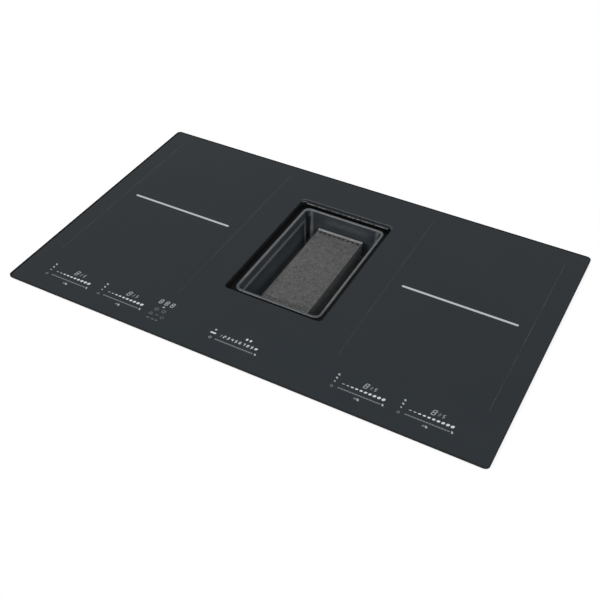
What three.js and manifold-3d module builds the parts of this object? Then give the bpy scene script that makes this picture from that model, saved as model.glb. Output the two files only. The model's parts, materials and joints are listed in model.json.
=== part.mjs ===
// Downdraft induction hob, 83 cm wide: a flush glass plate with four coils, a central extractor
// with a lift-out filter tray, and the blower, drip tank and flat duct outlet hung below the casing.
// Millimetres. X runs to the right, Y to the back and Z up. The origin is the centre of the worktop
// cut-out, on the worktop's top face, where the foam seal of the glass rests.
import * as THREE from "three";
import { mergeVertices } from "three/addons/utils/BufferGeometryUtils.js";
import Module from "manifold-3d";

const wasm = await Module();
wasm.setup();

// ---- Driving dimensions ----

// Running and resting gaps
const seat = 0.3; // between two pieces that rest on each other
const running = 0.5; // between a piece that moves and what guides it

// Glass
const glassWidth = 830;
const glassDepth = 515;
const glassThickness = 4;
const glassCorner = 7.5;
const glassBevel = 0.6;
const cutoutWidth = 178;
const cutoutLength = 282;
const cutoutCentreY = 32;
const cutoutCorner = 8;
const sealThickness = 2;
const sealWidth = 10;
const sealInset = 2;

// Recess frame and filter tray
const recessDepth = 12.5; // from the glass's top face to the ledge
const recessOffset = 0.8; // the recess wall stands this far behind the cut glass edge
const recessSheet = 1.5;
const recessFlange = 10;
const recessLip = 4;
const rearLip = 4; // a strip under the glass stands this far into the opening's rear edge
const rearLipEndGap = 9; // from the side walls to its ends
const rimWidth = 158;
const rimLength = 260;
const rimCentreY = 35;
const rimCorner = 12;
const rimDrop = 9.5; // the tray's rim lies this far below the glass's top face
const rimFlat = 5;
const rimRound = 1.2;
const trayWall = 2;
const trayClearance = 1;
const trayTaper = 2;
const trayCorner = 9; // inner corner radius at the mouth
const shelfDrop = 23;
const shelfWidth = 3;
const shelfFall = 3; // the shelf slopes down by this much
const padEndGap = 12; // the side pads under the shelf end this far before the end walls
const trayDrop = 76; // from the glass's top face to the tray's floor
const trayFillet = 3;
const chimneyHeight = 22;
const chimneyGap = 2; // between the filter's base frame and the chimney

// Mesh filter
const filterWidth = 87;
const filterFrontGap = 1; // to the tray's front wall, at the floor
const filterRearGap = 7;
const filterCorner = 3;
const filterDrop = 36; // from the glass's top face to the mesh's top face
const filterSheet = 1.2;
const filterBend = 2.5;
const railFlange = 4;
const railSheet = 0.8;
const railDrop = 7;
const baseFrameHeight = 8;
const baseFrameWall = 2;

// Casing under the glass
const casingSideInset = 27; // from the glass's edge to the casing's wall, left and right
const casingEndInset = 17.5; // the same, front and rear
const casingHeight = 56; // below the worktop's top face
const casingCorner = 6;
const casingSheet = 1.2;
const casingFlange = 4;
const slotCount = 5;
const slotLength = 62;
const slotWidth = 5;
const slotPitch = 12;

// Heating zones
const zoneWallGap = 4; // from the casing's side wall to the mica sheet
const zoneWellGap = 36.8; // from the plenum's well to the mica sheet
const zoneRearGap = 18; // from the casing's rear wall to the mica sheet
const zoneFrontGap = 86; // from the casing's front wall, past the touch board
const micaThickness = 0.8;
const micaCorner = 4;
const micaSideMargin = 18; // beyond the coils
const micaEndMargin = 3;
const micaHoleGap = 2; // round the sensor
const coilGap = 10; // between the front and rear coils of one side
const coilEye = 27; // least radius left free inside the winding
const coilTurnPitch = 6.2;
const coilWireWidth = 4.6;
const coilWireHeight = 2.6;
const carrierMargin = 2;
const carrierThickness = 2;
const carrierCorner = 30;
const ferriteHeight = 3.6;
const ferriteWidth = 12;
const ferriteInset = 8; // from the carrier's edge
const sensorRadius = 9;
const sensorFlange = 15;
const sensorFlangeThickness = 1;
const shieldThickness = 1.2;
const shieldCorner = 6;
const shieldEndMargin = 2; // beyond the mica sheet
const legRadius = 4;
const legInset = 8;

// Electronics
const boardThickness = 1.6;
const boardCorner = 2;
const boardLift = 8; // clear height under a circuit board
const pillarInset = 7;
const powerBoardWidth = 200;
const powerBoardDepth = 196;
const powerBoardFrontGap = 100; // from the casing's front wall
const partInset = 20; // from a board's edge to the parts on it
const partGap = 4;
const capacitorCount = 3;
const capacitorRadius = 10.5;
const capacitorHeight = 24;
const chokeX = 30;
const chokeRadius = 16;
const chokeHeight = 18;
const relayCount = 3;
const relayWidth = 20;
const relayDepth = 28;
const relayHeight = 15;
const plugWidth = 64;
const plugDepth = 12;
const plugHeight = 11;
const sinkWidth = 90;
const sinkDepth = 60;
const sinkBase = 4;
const sinkHeight = 24;
const sinkFins = 9;
const sinkFin = 1.6;
const coolerSize = 92;
const coolerHeight = 25;
const coolerCorner = 5;
const coolerInset = 22; // the cooling fans stand this much nearer to the middle than the coils
const coolerRearGap = 36; // from the casing's rear wall
const coolerBore = 42;
const coolerTipGap = 3;
const coolerHub = 16;
const coolerBlades = 7;
const coolerBladeThickness = 1.6;
const coolerBladeChord = 20;
const coolerBladePitch = 48; // degrees
const coolerStruts = 4;
const coolerStrutWidth = 4;
const coolerStrutHeight = 3;
const coolerDisc = 4;
const touchSideGap = 16; // to the casing's side walls
const touchFrontGap = 5;
const touchDepth = 48;
const touchBoardMargin = 4;
const touchHolderHeight = 8;
const touchHolderWall = 1.6;
const touchHolderCorner = 3;
const touchLegRadius = 6;
const touchLegInset = 30; // from the holder's ends to the outer legs
const touchLegInner = 112; // from the middle to the inner legs
const displayWidth = 32;
const displayDepth = 14;
const displayHeight = 5;
const displayRear = 1; // between the displays and the board's rear edge
const sliderDisplays = [-54, 51]; // the sliders' displays, from the middle of their zones
const centreDisplays = [-142.5, 14]; // the timer's and the fan's displays

// Suction plenum
const plenumWidth = 196;
const plenumLength = 300;
const plenumCorner = 10;
const plenumWall = 2.5;
const plenumBottom = -163;
const plenumFlange = 18;
const plenumFlangeThickness = 3;
const wellClearance = 4;
const drainRadius = 10;
const drainSpout = 3;
const runnerLength = 276;
const runnerSheet = 2.5;
const runnerFoot = 5;
const runnerFrontGap = 4; // from the plenum's front face
const runnerStop = 2;

// Drip tank
const tankWidth = 152;
const tankLength = 268;
const tankRim = 6;
const tankSheet = 2;
const tankCorner = 12;
const tankDraft = 4; // the floor is this much smaller on each side
const tankSpoutGap = 1.5;
const tankGrip = 14;
const tankGripWidth = 70;
const tankGripHeight = 14;

// Blower
const blowerX = 230;
const blowerY = -15;
const unitBottom = -204;
const portY = -15;
const portDepth = 160;
const portTop = -72;
const portBottom = -116;
const gasketThickness = 3;
const gasketWidth = 8;
const hoodRight = 340;
const hoodDepth = 200;
const hoodTop = -60;
const hoodBottom = -124;
const hoodCorner = 8;
const hoodWall = 2.5;
const hoodFlange = 8;
const hoodBossRadius = 6;
const hoodBossInset = 14;
const hoodBossPortInset = 34; // the bosses beside the port stand clear of it
const scrollPlate = 3;
const scrollWall = 2.5;
const scrollTongue = 98; // spiral radius at the tongue
const scrollEnd = 148; // spiral radius where it meets the outlet
const scrollTongueAngle = 60; // degrees
const scrollOutletLength = 120;
const bellRadius = 62;
const bellLip = 4;
const bellDepth = 10;
const bellWall = 2;
const bellFlare = 8;
const bladeCount = 36;
const impellerRadius = 85;
const bladeInnerRadius = 70;
const bladeThickness = 1.2;
const bladeSweep = 10; // degrees, in the direction of turning
const impellerFloorGap = 5;
const impellerTopGap = 6;
const impellerPlate = 2.5;
const impellerRing = 6;
const domeBase = 54;
const domeTop = 46;
const domeHeight = 46;
const hubRadius = 9;
const hubHeight = 8;
const shaftRadius = 4;
const bearingRadius = 11;
const bearingWidth = 6;
const motorRadius = 38;
const motorFoot = 8;
const motorFootThickness = 3;
const motorChamfer = 3;
const motorTopGap = 3; // below the impeller's dome

// Outlet duct
const ductWidth = 222;
const ductHeight = 89;
const ductCorner = 4;
const ductWall = 2;
const ductCentreX = 271;
const spigotLength = 47;
const spigotOverhang = 10; // past the casing's rear wall
const sleeve = 10;
const flapSheet = 1.6;
const flapPin = 1.6;
const flapStop = 3;
const crossbar = 4;
const flapRibInset = 12;
const flapRibHeight = 2;

// Control box, mains terminal and clamps
const controlGap = 32; // from the plenum's flange
const controlY = 20;
const controlWidth = 190;
const controlDepth = 130;
const controlHeight = 42;
const controlWall = 2;
const boxRim = 7;
const boxCorner = 5;
const controlBoardGap = 8;
const inductorWidth = 30;
const inductorDepth = 50;
const inductorHeight = 18;
const canRadius = 10;
const canHeight = 20;
const headerWidth = 15;
const headerDepth = 80;
const headerHeight = 12;
const terminalSideGap = 9; // from the casing's side wall
const terminalRearGap = 7; // from the casing's rear wall
const terminalWidth = 88;
const terminalDepth = 66;
const terminalHeight = 36;
const terminalCount = 6;
const terminalPitch = 11;
const terminalCell = 9;
const terminalCellDepth = 16;
const terminalCellHeight = 16;
const terminalBase = 6;
const terminalFront = 14; // the block's front face, from the box's middle
const glandBore = 6;
const glandRadius = 11;
const glandLength = 20;
const glandWall = 2;
const glandThread = 5; // inside the box
const glandHexagon = 13.5;
const glandHexagonLength = 5;
const clampY = 150;
const clampWidth = 30;
const clampSheet = 2;
const clampReach = 22;
const clampTop = -10;
const clampFoot = -46;
const clampHole = 3;
const clampHoleInset = 7;

// ---- Levels and outlines that follow from them ----

const glassBottom = sealThickness;
const glassTop = glassBottom + glassThickness;
const underGlass = glassBottom - seat;
const ledgeZ = glassTop - recessDepth;
const casingWidth = glassWidth - 2 * casingSideInset;
const casingDepth = glassDepth - 2 * casingEndInset;
const casingFront = -casingDepth / 2;
const casingRear = casingDepth / 2;
const wellHalf = plenumWidth / 2 + wellClearance + casingSheet;
const micaWidth = casingWidth / 2 - zoneWallGap - wellHalf - zoneWellGap;
const micaDepth = casingDepth - zoneRearGap - zoneFrontGap;
const zoneX = casingWidth / 2 - zoneWallGap - micaWidth / 2;
const zoneY = casingRear - zoneRearGap - micaDepth / 2;
const coilWidth = micaWidth - 2 * micaSideMargin;
const coilDepth = micaDepth / 2 - micaEndMargin - coilGap / 2;
const coilPitchY = coilDepth + coilGap;
const coilTurns = Math.floor((Math.min(coilWidth, coilDepth) / 2 - coilEye) / coilTurnPitch);
const powerBoardY = casingFront + powerBoardFrontGap + powerBoardDepth / 2;
const coolerX = zoneX - coolerInset;
const coolerY = casingRear - coolerRearGap - coolerSize / 2;
const touchWidth = casingWidth - 2 * touchSideGap;
const touchCentreY = casingFront + touchFrontGap + touchDepth / 2;
const spigotRear = casingRear + spigotOverhang;
const spigotFront = spigotRear - spigotLength;
const controlX = -(plenumWidth / 2 + plenumFlange + boxRim + controlGap + controlWidth / 2);
const terminalX = -(casingWidth / 2 - terminalSideGap - terminalWidth / 2);
const terminalY = casingRear - terminalRearGap - terminalDepth / 2;
const clampX = casingWidth / 2;
const rimTop = glassTop - rimDrop;
const rimBottom = ledgeZ + seat;
const trayFloor = glassTop - trayDrop;
const shelfZ = glassTop - shelfDrop;
const chimneyTop = trayFloor + chimneyHeight;
const filterTop = glassTop - filterDrop;
const filterBottom = trayFloor + seat;
const casingBottom = -casingHeight;
const casingFloor = casingBottom + casingSheet;
const underCasing = casingBottom - seat;
const onFloor = casingFloor + seat;
const micaBottom = underGlass - micaThickness;
const coilTop = micaBottom - seat;
const coilBottom = coilTop - coilWireHeight;
const carrierTop = coilBottom - seat;
const carrierBottom = carrierTop - carrierThickness - ferriteHeight;
const shieldTop = carrierBottom - seat;
const shieldBottom = shieldTop - shieldThickness;
const boardTop = onFloor + boardLift + boardThickness;
const plenumTop = underGlass - recessSheet - seat;
const scrollTop = hoodBottom - seat;
const scrollUpperBottom = scrollTop - scrollPlate;
const scrollLowerTop = scrollUpperBottom - seat;
const scrollFloor = unitBottom + scrollWall;
const impellerBottom = scrollFloor + impellerFloorGap;
const impellerTop = scrollUpperBottom - impellerTopGap;
const domeZ = impellerBottom + domeHeight;

const glassRect = rect(0, 0, glassWidth, glassDepth, glassCorner);
const cutoutRect = rect(0, cutoutCentreY, cutoutWidth, cutoutLength, cutoutCorner);
const recessRect = grow(cutoutRect, recessOffset);
const rimRect = rect(0, rimCentreY, rimWidth, rimLength, rimCorner);
const mouthRect = { ...grow(rimRect, -rimFlat), corner: trayCorner };
const wallTop = rimTop - rimRound;
const shelfShare = (wallTop - shelfZ) / (wallTop - trayFloor - trayFillet);
const shelfOuter = drawIn(mouthRect, trayTaper, shelfShare * trayTaper);
const shelfInner = drawIn(shelfOuter, shelfWidth);
const trayWide = drawIn(mouthRect, 2 * trayTaper, trayTaper); // the lower walls where no pad stands
const trayLow = drawIn(trayWide, shelfWidth); // the same on the pads
const trayWideFloor = grow(trayWide, -trayFillet);
const trayFloorRect = grow(trayLow, -trayFillet);
const filterRect = {
  x0: -filterWidth / 2,
  x1: filterWidth / 2,
  y0: trayFloorRect.y0 + filterFrontGap,
  y1: trayFloorRect.y1 - filterRearGap,
  corner: filterCorner,
};
const chimneyRect = grow(filterRect, -(filterSheet + seat + baseFrameWall + chimneyGap));
const portRect = grow(chimneyRect, -trayWall);
const casingRect = rect(0, 0, casingWidth, casingDepth, casingCorner);
const plenumRect = rect(0, cutoutCentreY, plenumWidth, plenumLength, plenumCorner);
const wellRect = grow(plenumRect, wellClearance);
const ductRect = rect(ductCentreX, -(unitBottom + ductHeight / 2), ductWidth, ductHeight, ductCorner);

// ---- Materials ----

const blackGlass = material(0x34383b, 0.12, 0);
const foam = material(0x232323, 0.95, 0);
const blackPlastic = material(0x151617, 0.5, 0);
const glossTray = material(0x1b1d1f, 0.22, 0.1);
const filterMesh = material(0x6a6a68, 0.45, 0.8);
const brightSteel = material(0xb9bbbb, 0.28, 1);
const zincSteel = material(0x9fa3a5, 0.45, 0.9);
const micaSheet = material(0xb7a988, 0.7, 0);
const copper = material(0xa8592c, 0.4, 0.9);
const ferrite = material(0x2c2c2e, 0.7, 0.1);
const aluminium = material(0xc3c6c8, 0.35, 0.9);
const boardGreen = material(0x1f5a35, 0.6, 0);
const greyPlastic = material(0x5d6163, 0.6, 0);
const rubber = material(0x1d1d1d, 0.9, 0);

// ---- Geometry helpers ----

function material(color, roughness, metalness) {
  return new THREE.MeshStandardMaterial({ color, roughness, metalness });
}

function rect(centreX, centreY, width, depth, corner) {
  return {
    x0: centreX - width / 2,
    x1: centreX + width / 2,
    y0: centreY - depth / 2,
    y1: centreY + depth / 2,
    corner,
  };
}

function grow(r, by) {
  return {
    x0: r.x0 - by,
    x1: r.x1 + by,
    y0: r.y0 - by,
    y1: r.y1 + by,
    corner: Math.max(r.corner + by, 0.4),
  };
}

// Moves the side walls of an outline inwards, and its end walls too if they are given a distance.
function drawIn(r, sides, ends = 0) {
  return { ...r, x0: r.x0 + sides, x1: r.x1 - sides, y0: r.y0 + ends, y1: r.y1 - ends };
}

// The outline of a rounded rectangle at a height, anticlockwise. Fine pieces take more steps a corner.
function outline(r, z, steps = 2) {
  const c = r.corner;
  const centres = [
    [r.x1 - c, r.y0 + c],
    [r.x1 - c, r.y1 - c],
    [r.x0 + c, r.y1 - c],
    [r.x0 + c, r.y0 + c],
  ];
  const points = [];
  centres.forEach(([x, y], quarter) => {
    for (let i = 0; i <= steps; i++) {
      const a = ((quarter - 1 + i / steps) * Math.PI) / 2;
      points.push(new THREE.Vector3(x + c * Math.cos(a), y + c * Math.sin(a), z));
    }
  });
  return points;
}

// Skins a stack of outlines. An open stack is capped at both ends; a closed one is a ring.
function loft(outlines, closed = false) {
  const count = outlines[0].length;
  const positions = outlines.flat().flatMap((p) => [p.x, p.y, p.z]);
  const index = [];
  const last = closed ? outlines.length : outlines.length - 1;
  for (let i = 0; i < last; i++) {
    const a = i * count;
    const b = ((i + 1) % outlines.length) * count;
    for (let j = 0; j < count; j++) {
      const k = (j + 1) % count;
      index.push(a + j, a + k, b + k, a + j, b + k, b + j);
    }
  }
  if (!closed) {
    const top = (outlines.length - 1) * count;
    for (let j = 1; j < count - 1; j++) {
      index.push(0, j + 1, j, top, top + j, top + j + 1);
    }
  }
  const geometry = new THREE.BufferGeometry();
  geometry.setAttribute("position", new THREE.Float32BufferAttribute(positions, 3));
  geometry.setIndex(index);
  return geometry;
}

// A ring round a rounded rectangle, from [offset outwards, height] pairs.
function ring(r, profile, steps) {
  return loft(
    profile.map(([out, z]) => outline(grow(r, out), z, steps)),
    true,
  );
}

function plate(r, z0, z1, steps) {
  return loft([outline(r, z0, steps), outline(r, z1, steps)]);
}

function block(x0, x1, y0, y1, z0, z1) {
  const geometry = new THREE.BoxGeometry(x1 - x0, y1 - y0, z1 - z0);
  return geometry.translate((x0 + x1) / 2, (y0 + y1) / 2, (z0 + z1) / 2);
}

function post(x, y, z0, z1, radius, sides = 12) {
  const geometry = new THREE.CylinderGeometry(radius, radius, z1 - z0, sides);
  return geometry.rotateX(Math.PI / 2).translate(x, y, (z0 + z1) / 2);
}

// A flat outline of [x, y] pairs extruded from one height to another.
function prism(points, z0, z1) {
  const shape = new THREE.Shape(points.map(([x, y]) => new THREE.Vector2(x, y)));
  const options = { depth: z1 - z0, bevelEnabled: false };
  return new THREE.ExtrudeGeometry(shape, options).translate(0, 0, z0);
}

// A section of [y, z] pairs extruded along X.
function bar(points, x0, x1) {
  const turn = new THREE.Matrix4().makeBasis(
    new THREE.Vector3(0, 1, 0),
    new THREE.Vector3(0, 0, 1),
    new THREE.Vector3(1, 0, 0),
  );
  return prism(points, x0, x1).applyMatrix4(turn);
}

// A closed profile of [radius, height] pairs turned about Z.
function turned(profile, segments) {
  const points = profile.map(([r, z]) => new THREE.Vector2(r, z));
  points.push(points[0].clone());
  return new THREE.LatheGeometry(points, segments).rotateX(Math.PI / 2);
}

// A duct piece made along Z is stood along Y: its own Y then points down.
function alongY(geometry) {
  return geometry.rotateX(-Math.PI / 2);
}

function toSolid(geometry) {
  const bare = geometry.clone();
  bare.deleteAttribute("normal");
  bare.deleteAttribute("uv");
  const merged = mergeVertices(bare, 1e-4);
  const vertProperties = merged.attributes.position.array;
  const triVerts = new Uint32Array(merged.index.array);
  const solid = new wasm.Manifold(new wasm.Mesh({ numProp: 3, vertProperties, triVerts }));
  if (solid.volume() >= 0) {
    return solid;
  }
  for (let i = 0; i < triVerts.length; i += 3) {
    [triVerts[i + 1], triVerts[i + 2]] = [triVerts[i + 2], triVerts[i + 1]];
  }
  return new wasm.Manifold(new wasm.Mesh({ numProp: 3, vertProperties, triVerts }));
}

function toGeometry(solid) {
  const mesh = solid.getMesh();
  const geometry = new THREE.BufferGeometry();
  geometry.setAttribute("position", new THREE.BufferAttribute(mesh.vertProperties, 3));
  geometry.setIndex(new THREE.BufferAttribute(mesh.triVerts, 1));
  return geometry;
}

function join(...geometries) {
  return toGeometry(geometries.map(toSolid).reduce((a, b) => a.add(b)));
}

function cut(geometry, ...tools) {
  return toGeometry(tools.map(toSolid).reduce((a, b) => a.subtract(b), toSolid(geometry)));
}

function piece(parent, name, geometry, finish) {
  const faceted = toGeometry(toSolid(geometry)).toNonIndexed();
  faceted.computeVertexNormals();
  const mesh = new THREE.Mesh(faceted, finish);
  mesh.name = name;
  parent.add(mesh);
}

function group(parent, x, y, z) {
  const made = new THREE.Group();
  made.position.set(x, y, z);
  parent.add(made);
  return made;
}

// ---- Glass, seal and recess ----

function glassPlate() {
  const steps = 6;
  const outer = (inset, z) => outline(grow(glassRect, -inset), z, steps);
  const inner = (inset, z) => outline(grow(cutoutRect, inset), z, steps);
  return loft(
    [
      outer(glassBevel, glassBottom),
      outer(0, glassBottom + glassBevel),
      outer(0, glassTop - glassBevel),
      outer(glassBevel, glassTop),
      inner(glassBevel, glassTop),
      inner(0, glassTop - glassBevel),
      inner(0, glassBottom + glassBevel),
      inner(glassBevel, glassBottom),
    ],
    true,
  );
}

function foamSeal() {
  const outer = -sealInset;
  const inner = outer - sealWidth;
  return ring(grow(glassRect, outer), [
    [0, 0],
    [0, underGlass],
    [inner - outer, underGlass],
    [inner - outer, 0],
  ]);
}

// A bonded flange under the glass, a wall down and a ledge that carries the tray's rim.
function recessFrame() {
  const flange = grow(recessRect, recessSheet + recessFlange);
  const wall = grow(recessRect, recessSheet);
  const opening = grow(mouthRect, trayWall + trayClearance);
  const lip = grow(opening, recessSheet);
  const under = underGlass - recessSheet;
  const ledgeUnder = ledgeZ - recessSheet;
  const line = (r, z) => outline(r, z, 4);
  const frame = loft(
    [
      line(flange, under),
      line(flange, underGlass),
      line(recessRect, underGlass),
      line(recessRect, ledgeZ),
      line(opening, ledgeZ),
      line(opening, ledgeUnder - recessLip),
      line(lip, ledgeUnder - recessLip),
      line(lip, ledgeUnder),
      line(wall, ledgeUnder),
      line(wall, under),
    ],
    true,
  );
  const { x0, x1, y1 } = grow(cutoutRect, -rearLipEndGap);
  const front = y1 + rearLipEndGap - rearLip;
  return join(frame, block(x0, x1, front, recessRect.y1 + recessSheet / 2, under, underGlass));
}

// ---- Filter tray and mesh filter ----

// A deep tub with a rolled rim, an inset pad along each side and a chimney round the suction port.
function filterTray() {
  const line = (r, z) => outline(r, z, 4);
  const filletZ = trayFloor + trayFillet;
  const tub = loft([
    line(grow(trayWideFloor, trayWall / 2), trayFloor - trayWall),
    line(grow(trayWide, trayWall), filletZ - trayWall / 2),
    line(grow(shelfOuter, trayWall), shelfZ),
    line(grow(mouthRect, trayWall), rimBottom),
    line(rimRect, rimBottom),
    line(rimRect, rimTop - rimRound),
    line(grow(rimRect, -rimRound), rimTop),
    line(grow(mouthRect, rimRound), rimTop),
    line(mouthRect, wallTop),
    line(shelfOuter, shelfZ),
    line(trayWide, filletZ),
    line(trayWideFloor, trayFloor),
  ]);
  const chimney = plate(chimneyRect, trayFloor - trayWall / 2, chimneyTop);
  const port = plate(portRect, trayFloor - 2 * trayWall, chimneyTop + trayWall);
  return cut(join(tub, sidePad(1), sidePad(-1), chimney), port);
}

// The pad that stands in from a lower side wall. Its sloping top is the shelf.
function sidePad(side) {
  const inWall = trayWall / 2;
  const profile = [
    [trayFloorRect.x1, trayFloor - inWall],
    [trayFloorRect.x1, trayFloor],
    [trayLow.x1, trayFloor + trayFillet],
    [shelfInner.x1, shelfZ - shelfFall],
    [shelfOuter.x1, shelfZ],
    [shelfOuter.x1 + inWall, shelfZ],
    [trayWide.x1 + inWall, trayFloor + trayFillet],
    [trayWideFloor.x1, trayFloor - inWall],
  ];
  const section = profile.map(([x, z]) => [side * x, -z]);
  return alongY(prism(section, shelfOuter.y0 + padEndGap, shelfOuter.y1 - padEndGap));
}

// The mesh box: closed on top, open below, with rolled upper edges.
function meshBox() {
  const inside = grow(filterRect, -filterSheet);
  return loft([
    outline(grow(inside, -filterBend), filterTop - filterSheet),
    outline(inside, filterTop - filterSheet - filterBend),
    outline(inside, filterBottom),
    outline(filterRect, filterBottom),
    outline(filterRect, filterTop - filterBend),
    outline(grow(filterRect, -filterBend), filterTop),
  ]);
}

// An angle strip folded over the end of the mesh box.
function endRail(side) {
  const end = side > 0 ? filterRect.y1 : filterRect.y0;
  const y = (out) => end + side * out;
  const inner = filterTop + seat;
  const points = [
    [y(-railFlange), inner],
    [y(seat), inner],
    [y(seat), filterTop - railDrop],
    [y(seat + railSheet), filterTop - railDrop],
    [y(seat + railSheet), inner + railSheet],
    [y(-railFlange), inner + railSheet],
  ];
  return bar(points, filterRect.x0, filterRect.x1);
}

function baseFrame() {
  const outer = -filterSheet - seat;
  const inner = outer - baseFrameWall;
  return ring(filterRect, [
    [outer, filterBottom],
    [outer, filterBottom + baseFrameHeight],
    [inner, filterBottom + baseFrameHeight],
    [inner, filterBottom],
  ]);
}

// ---- Casing ----

// A folded steel pan with a flange under the glass, a walled well for the plenum and fan intakes.
function casingPan() {
  const inner = grow(casingRect, -casingSheet);
  const flange = grow(casingRect, casingFlange);
  const pan = loft([
    outline(casingRect, casingBottom),
    outline(casingRect, underGlass - casingSheet),
    outline(flange, underGlass - casingSheet),
    outline(flange, underGlass),
    outline(inner, underGlass),
    outline(inner, casingFloor),
  ]);
  const wellWall = plate(grow(wellRect, casingSheet), casingBottom, underGlass);
  const well = plate(wellRect, casingBottom - casingSheet, glassBottom);
  const intakes = [-coolerX, coolerX].flatMap((x) => intakeSlots(x));
  return cut(join(pan, wellWall), well, ...intakes);
}

function intakeSlots(x) {
  const slots = [];
  for (let i = 0; i < slotCount; i++) {
    const y = coolerY + (i - (slotCount - 1) / 2) * slotPitch;
    const slot = rect(x, y, slotLength, slotWidth);
    slots.push(block(slot.x0, slot.x1, slot.y0, slot.y1, casingBottom - 1, casingFloor + 1));
  }
  return slots;
}

// ---- Heating zones: all of one side is built round its own centre ----

function micaPlate() {
  const sheet = plate(rect(0, 0, micaWidth, micaDepth, micaCorner), micaBottom, underGlass);
  const holes = [-1, 1].map((end) =>
    post(0, (end * coilPitchY) / 2, micaBottom - 1, glassBottom, sensorRadius + micaHoleGap),
  );
  return cut(sheet, ...holes);
}

// One flat winding: an unbroken bar that spirals inwards on eight-sided turns.
function coilWinding() {
  const stepsPerTurn = 8;
  const total = coilTurns * stepsPerTurn;
  const outerX = (coilWidth - coilWireWidth) / 2;
  const outerY = (coilDepth - coilWireWidth) / 2;
  const corner = 1 / Math.cos(Math.PI / stepsPerTurn); // from a turn's flat to its corners
  const centres = [];
  for (let i = 0; i <= total; i++) {
    const a = (2 * Math.PI * (i + 0.5)) / stepsPerTurn;
    const inward = (coilTurnPitch * i) / stepsPerTurn;
    centres.push([(outerX - inward) * corner * Math.cos(a), (outerY - inward) * corner * Math.sin(a)]);
  }
  const sections = centres.map(([x, y], i) => {
    const before = centres[Math.max(i - 1, 0)];
    const after = centres[Math.min(i + 1, total)];
    const run = new THREE.Vector2(after[0] - before[0], after[1] - before[1]).normalize();
    const half = coilWireWidth / 2;
    const out = new THREE.Vector3(run.y * half, -run.x * half, 0);
    const centre = new THREE.Vector3(x, y, 0);
    const low = new THREE.Vector3(0, 0, coilBottom);
    const high = new THREE.Vector3(0, 0, coilTop);
    return [
      centre.clone().add(out).add(low),
      centre.clone().add(out).add(high),
      centre.clone().sub(out).add(high),
      centre.clone().sub(out).add(low),
    ];
  });
  reportLeastGap(centres, stepsPerTurn);
  return loft(sections);
}

// Prints the least gap between neighbouring turns of the winding.
function reportLeastGap(centres, stepsPerTurn) {
  let least = Infinity;
  for (let i = 0; i + stepsPerTurn + 1 < centres.length; i++) {
    const [x, y] = centres[i];
    const a = centres[i + stepsPerTurn];
    for (const b of [centres[i + stepsPerTurn - 1], centres[i + stepsPerTurn + 1]]) {
      const run = [b[0] - a[0], b[1] - a[1]];
      const share = ((x - a[0]) * run[0] + (y - a[1]) * run[1]) / (run[0] ** 2 + run[1] ** 2);
      const t = THREE.MathUtils.clamp(share, 0, 1);
      least = Math.min(least, Math.hypot(x - a[0] - t * run[0], y - a[1] - t * run[1]));
    }
  }
  console.log("least gap between coil turns: " + (least - coilWireWidth).toFixed(2) + " mm");
}

// The coil's plastic carrier, with ferrite ribs like a star below it and a hole for the sensor.
function coilCarrier() {
  const width = coilWidth + 2 * carrierMargin;
  const depth = coilDepth + 2 * carrierMargin;
  const base = plate(rect(0, 0, width, depth, carrierCorner), carrierTop - carrierThickness, carrierTop, 3);
  const ribs = [];
  const ribZ = carrierTop - carrierThickness / 2;
  for (let i = 0; i < 8; i++) {
    const length = (i % 2 ? Math.hypot(width, depth) - carrierCorner : i % 4 ? depth : width) / 2;
    const half = ferriteWidth / 2;
    const rib = block(sensorFlange, length - ferriteInset, -half, half, carrierBottom, ribZ);
    const angle = i % 2 ? Math.atan2(depth, width) : 0;
    const turns = [0, angle, Math.PI / 2, Math.PI - angle];
    ribs.push(rib.rotateZ(turns[i % 4] + (i > 3 ? Math.PI : 0)));
  }
  const hole = post(0, 0, carrierBottom - 1, carrierTop + 1, sensorRadius + 2 * seat);
  return cut(join(base, ...ribs), hole);
}

// The temperature sensor under the glass: a cap with a flange that sits on the carrier.
function coilSensor() {
  const flangeZ = carrierTop + seat;
  const bottom = carrierTop - carrierThickness;
  return turned(
    [
      [0, bottom],
      [sensorRadius, bottom],
      [sensorRadius, flangeZ],
      [sensorFlange, flangeZ],
      [sensorFlange, flangeZ + sensorFlangeThickness],
      [sensorRadius, flangeZ + sensorFlangeThickness],
      [sensorRadius, underGlass],
      [0, underGlass],
    ],
    12,
  );
}

// The aluminium shield under both coils of a side, on four legs that stand on the casing's floor.
function shieldPlate() {
  const r = rect(0, 0, micaWidth, micaDepth + 2 * shieldEndMargin, shieldCorner);
  const sheet = plate(r, shieldBottom, shieldTop);
  const legX = r.x1 - legInset;
  const legY = r.y1 - legInset;
  const legs = [];
  for (const x of [-legX, legX]) {
    for (const y of [-legY, legY]) {
      legs.push(post(x, y, onFloor, shieldTop - shieldThickness / 2, legRadius, 8));
    }
  }
  return join(sheet, ...legs);
}

// ---- Electronics ----

// A circuit board on four pillars, with the parts that stand on it.
function boardWith(r, floorZ, parts) {
  const top = floorZ + boardLift + boardThickness;
  const pillars = [];
  for (const x of [r.x0 + pillarInset, r.x1 - pillarInset]) {
    for (const y of [r.y0 + pillarInset, r.y1 - pillarInset]) {
      pillars.push(post(x, y, floorZ, top - boardThickness / 2, legRadius, 8));
    }
  }
  return join(plate(r, top - boardThickness, top, 1), ...pillars, ...parts);
}

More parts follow.
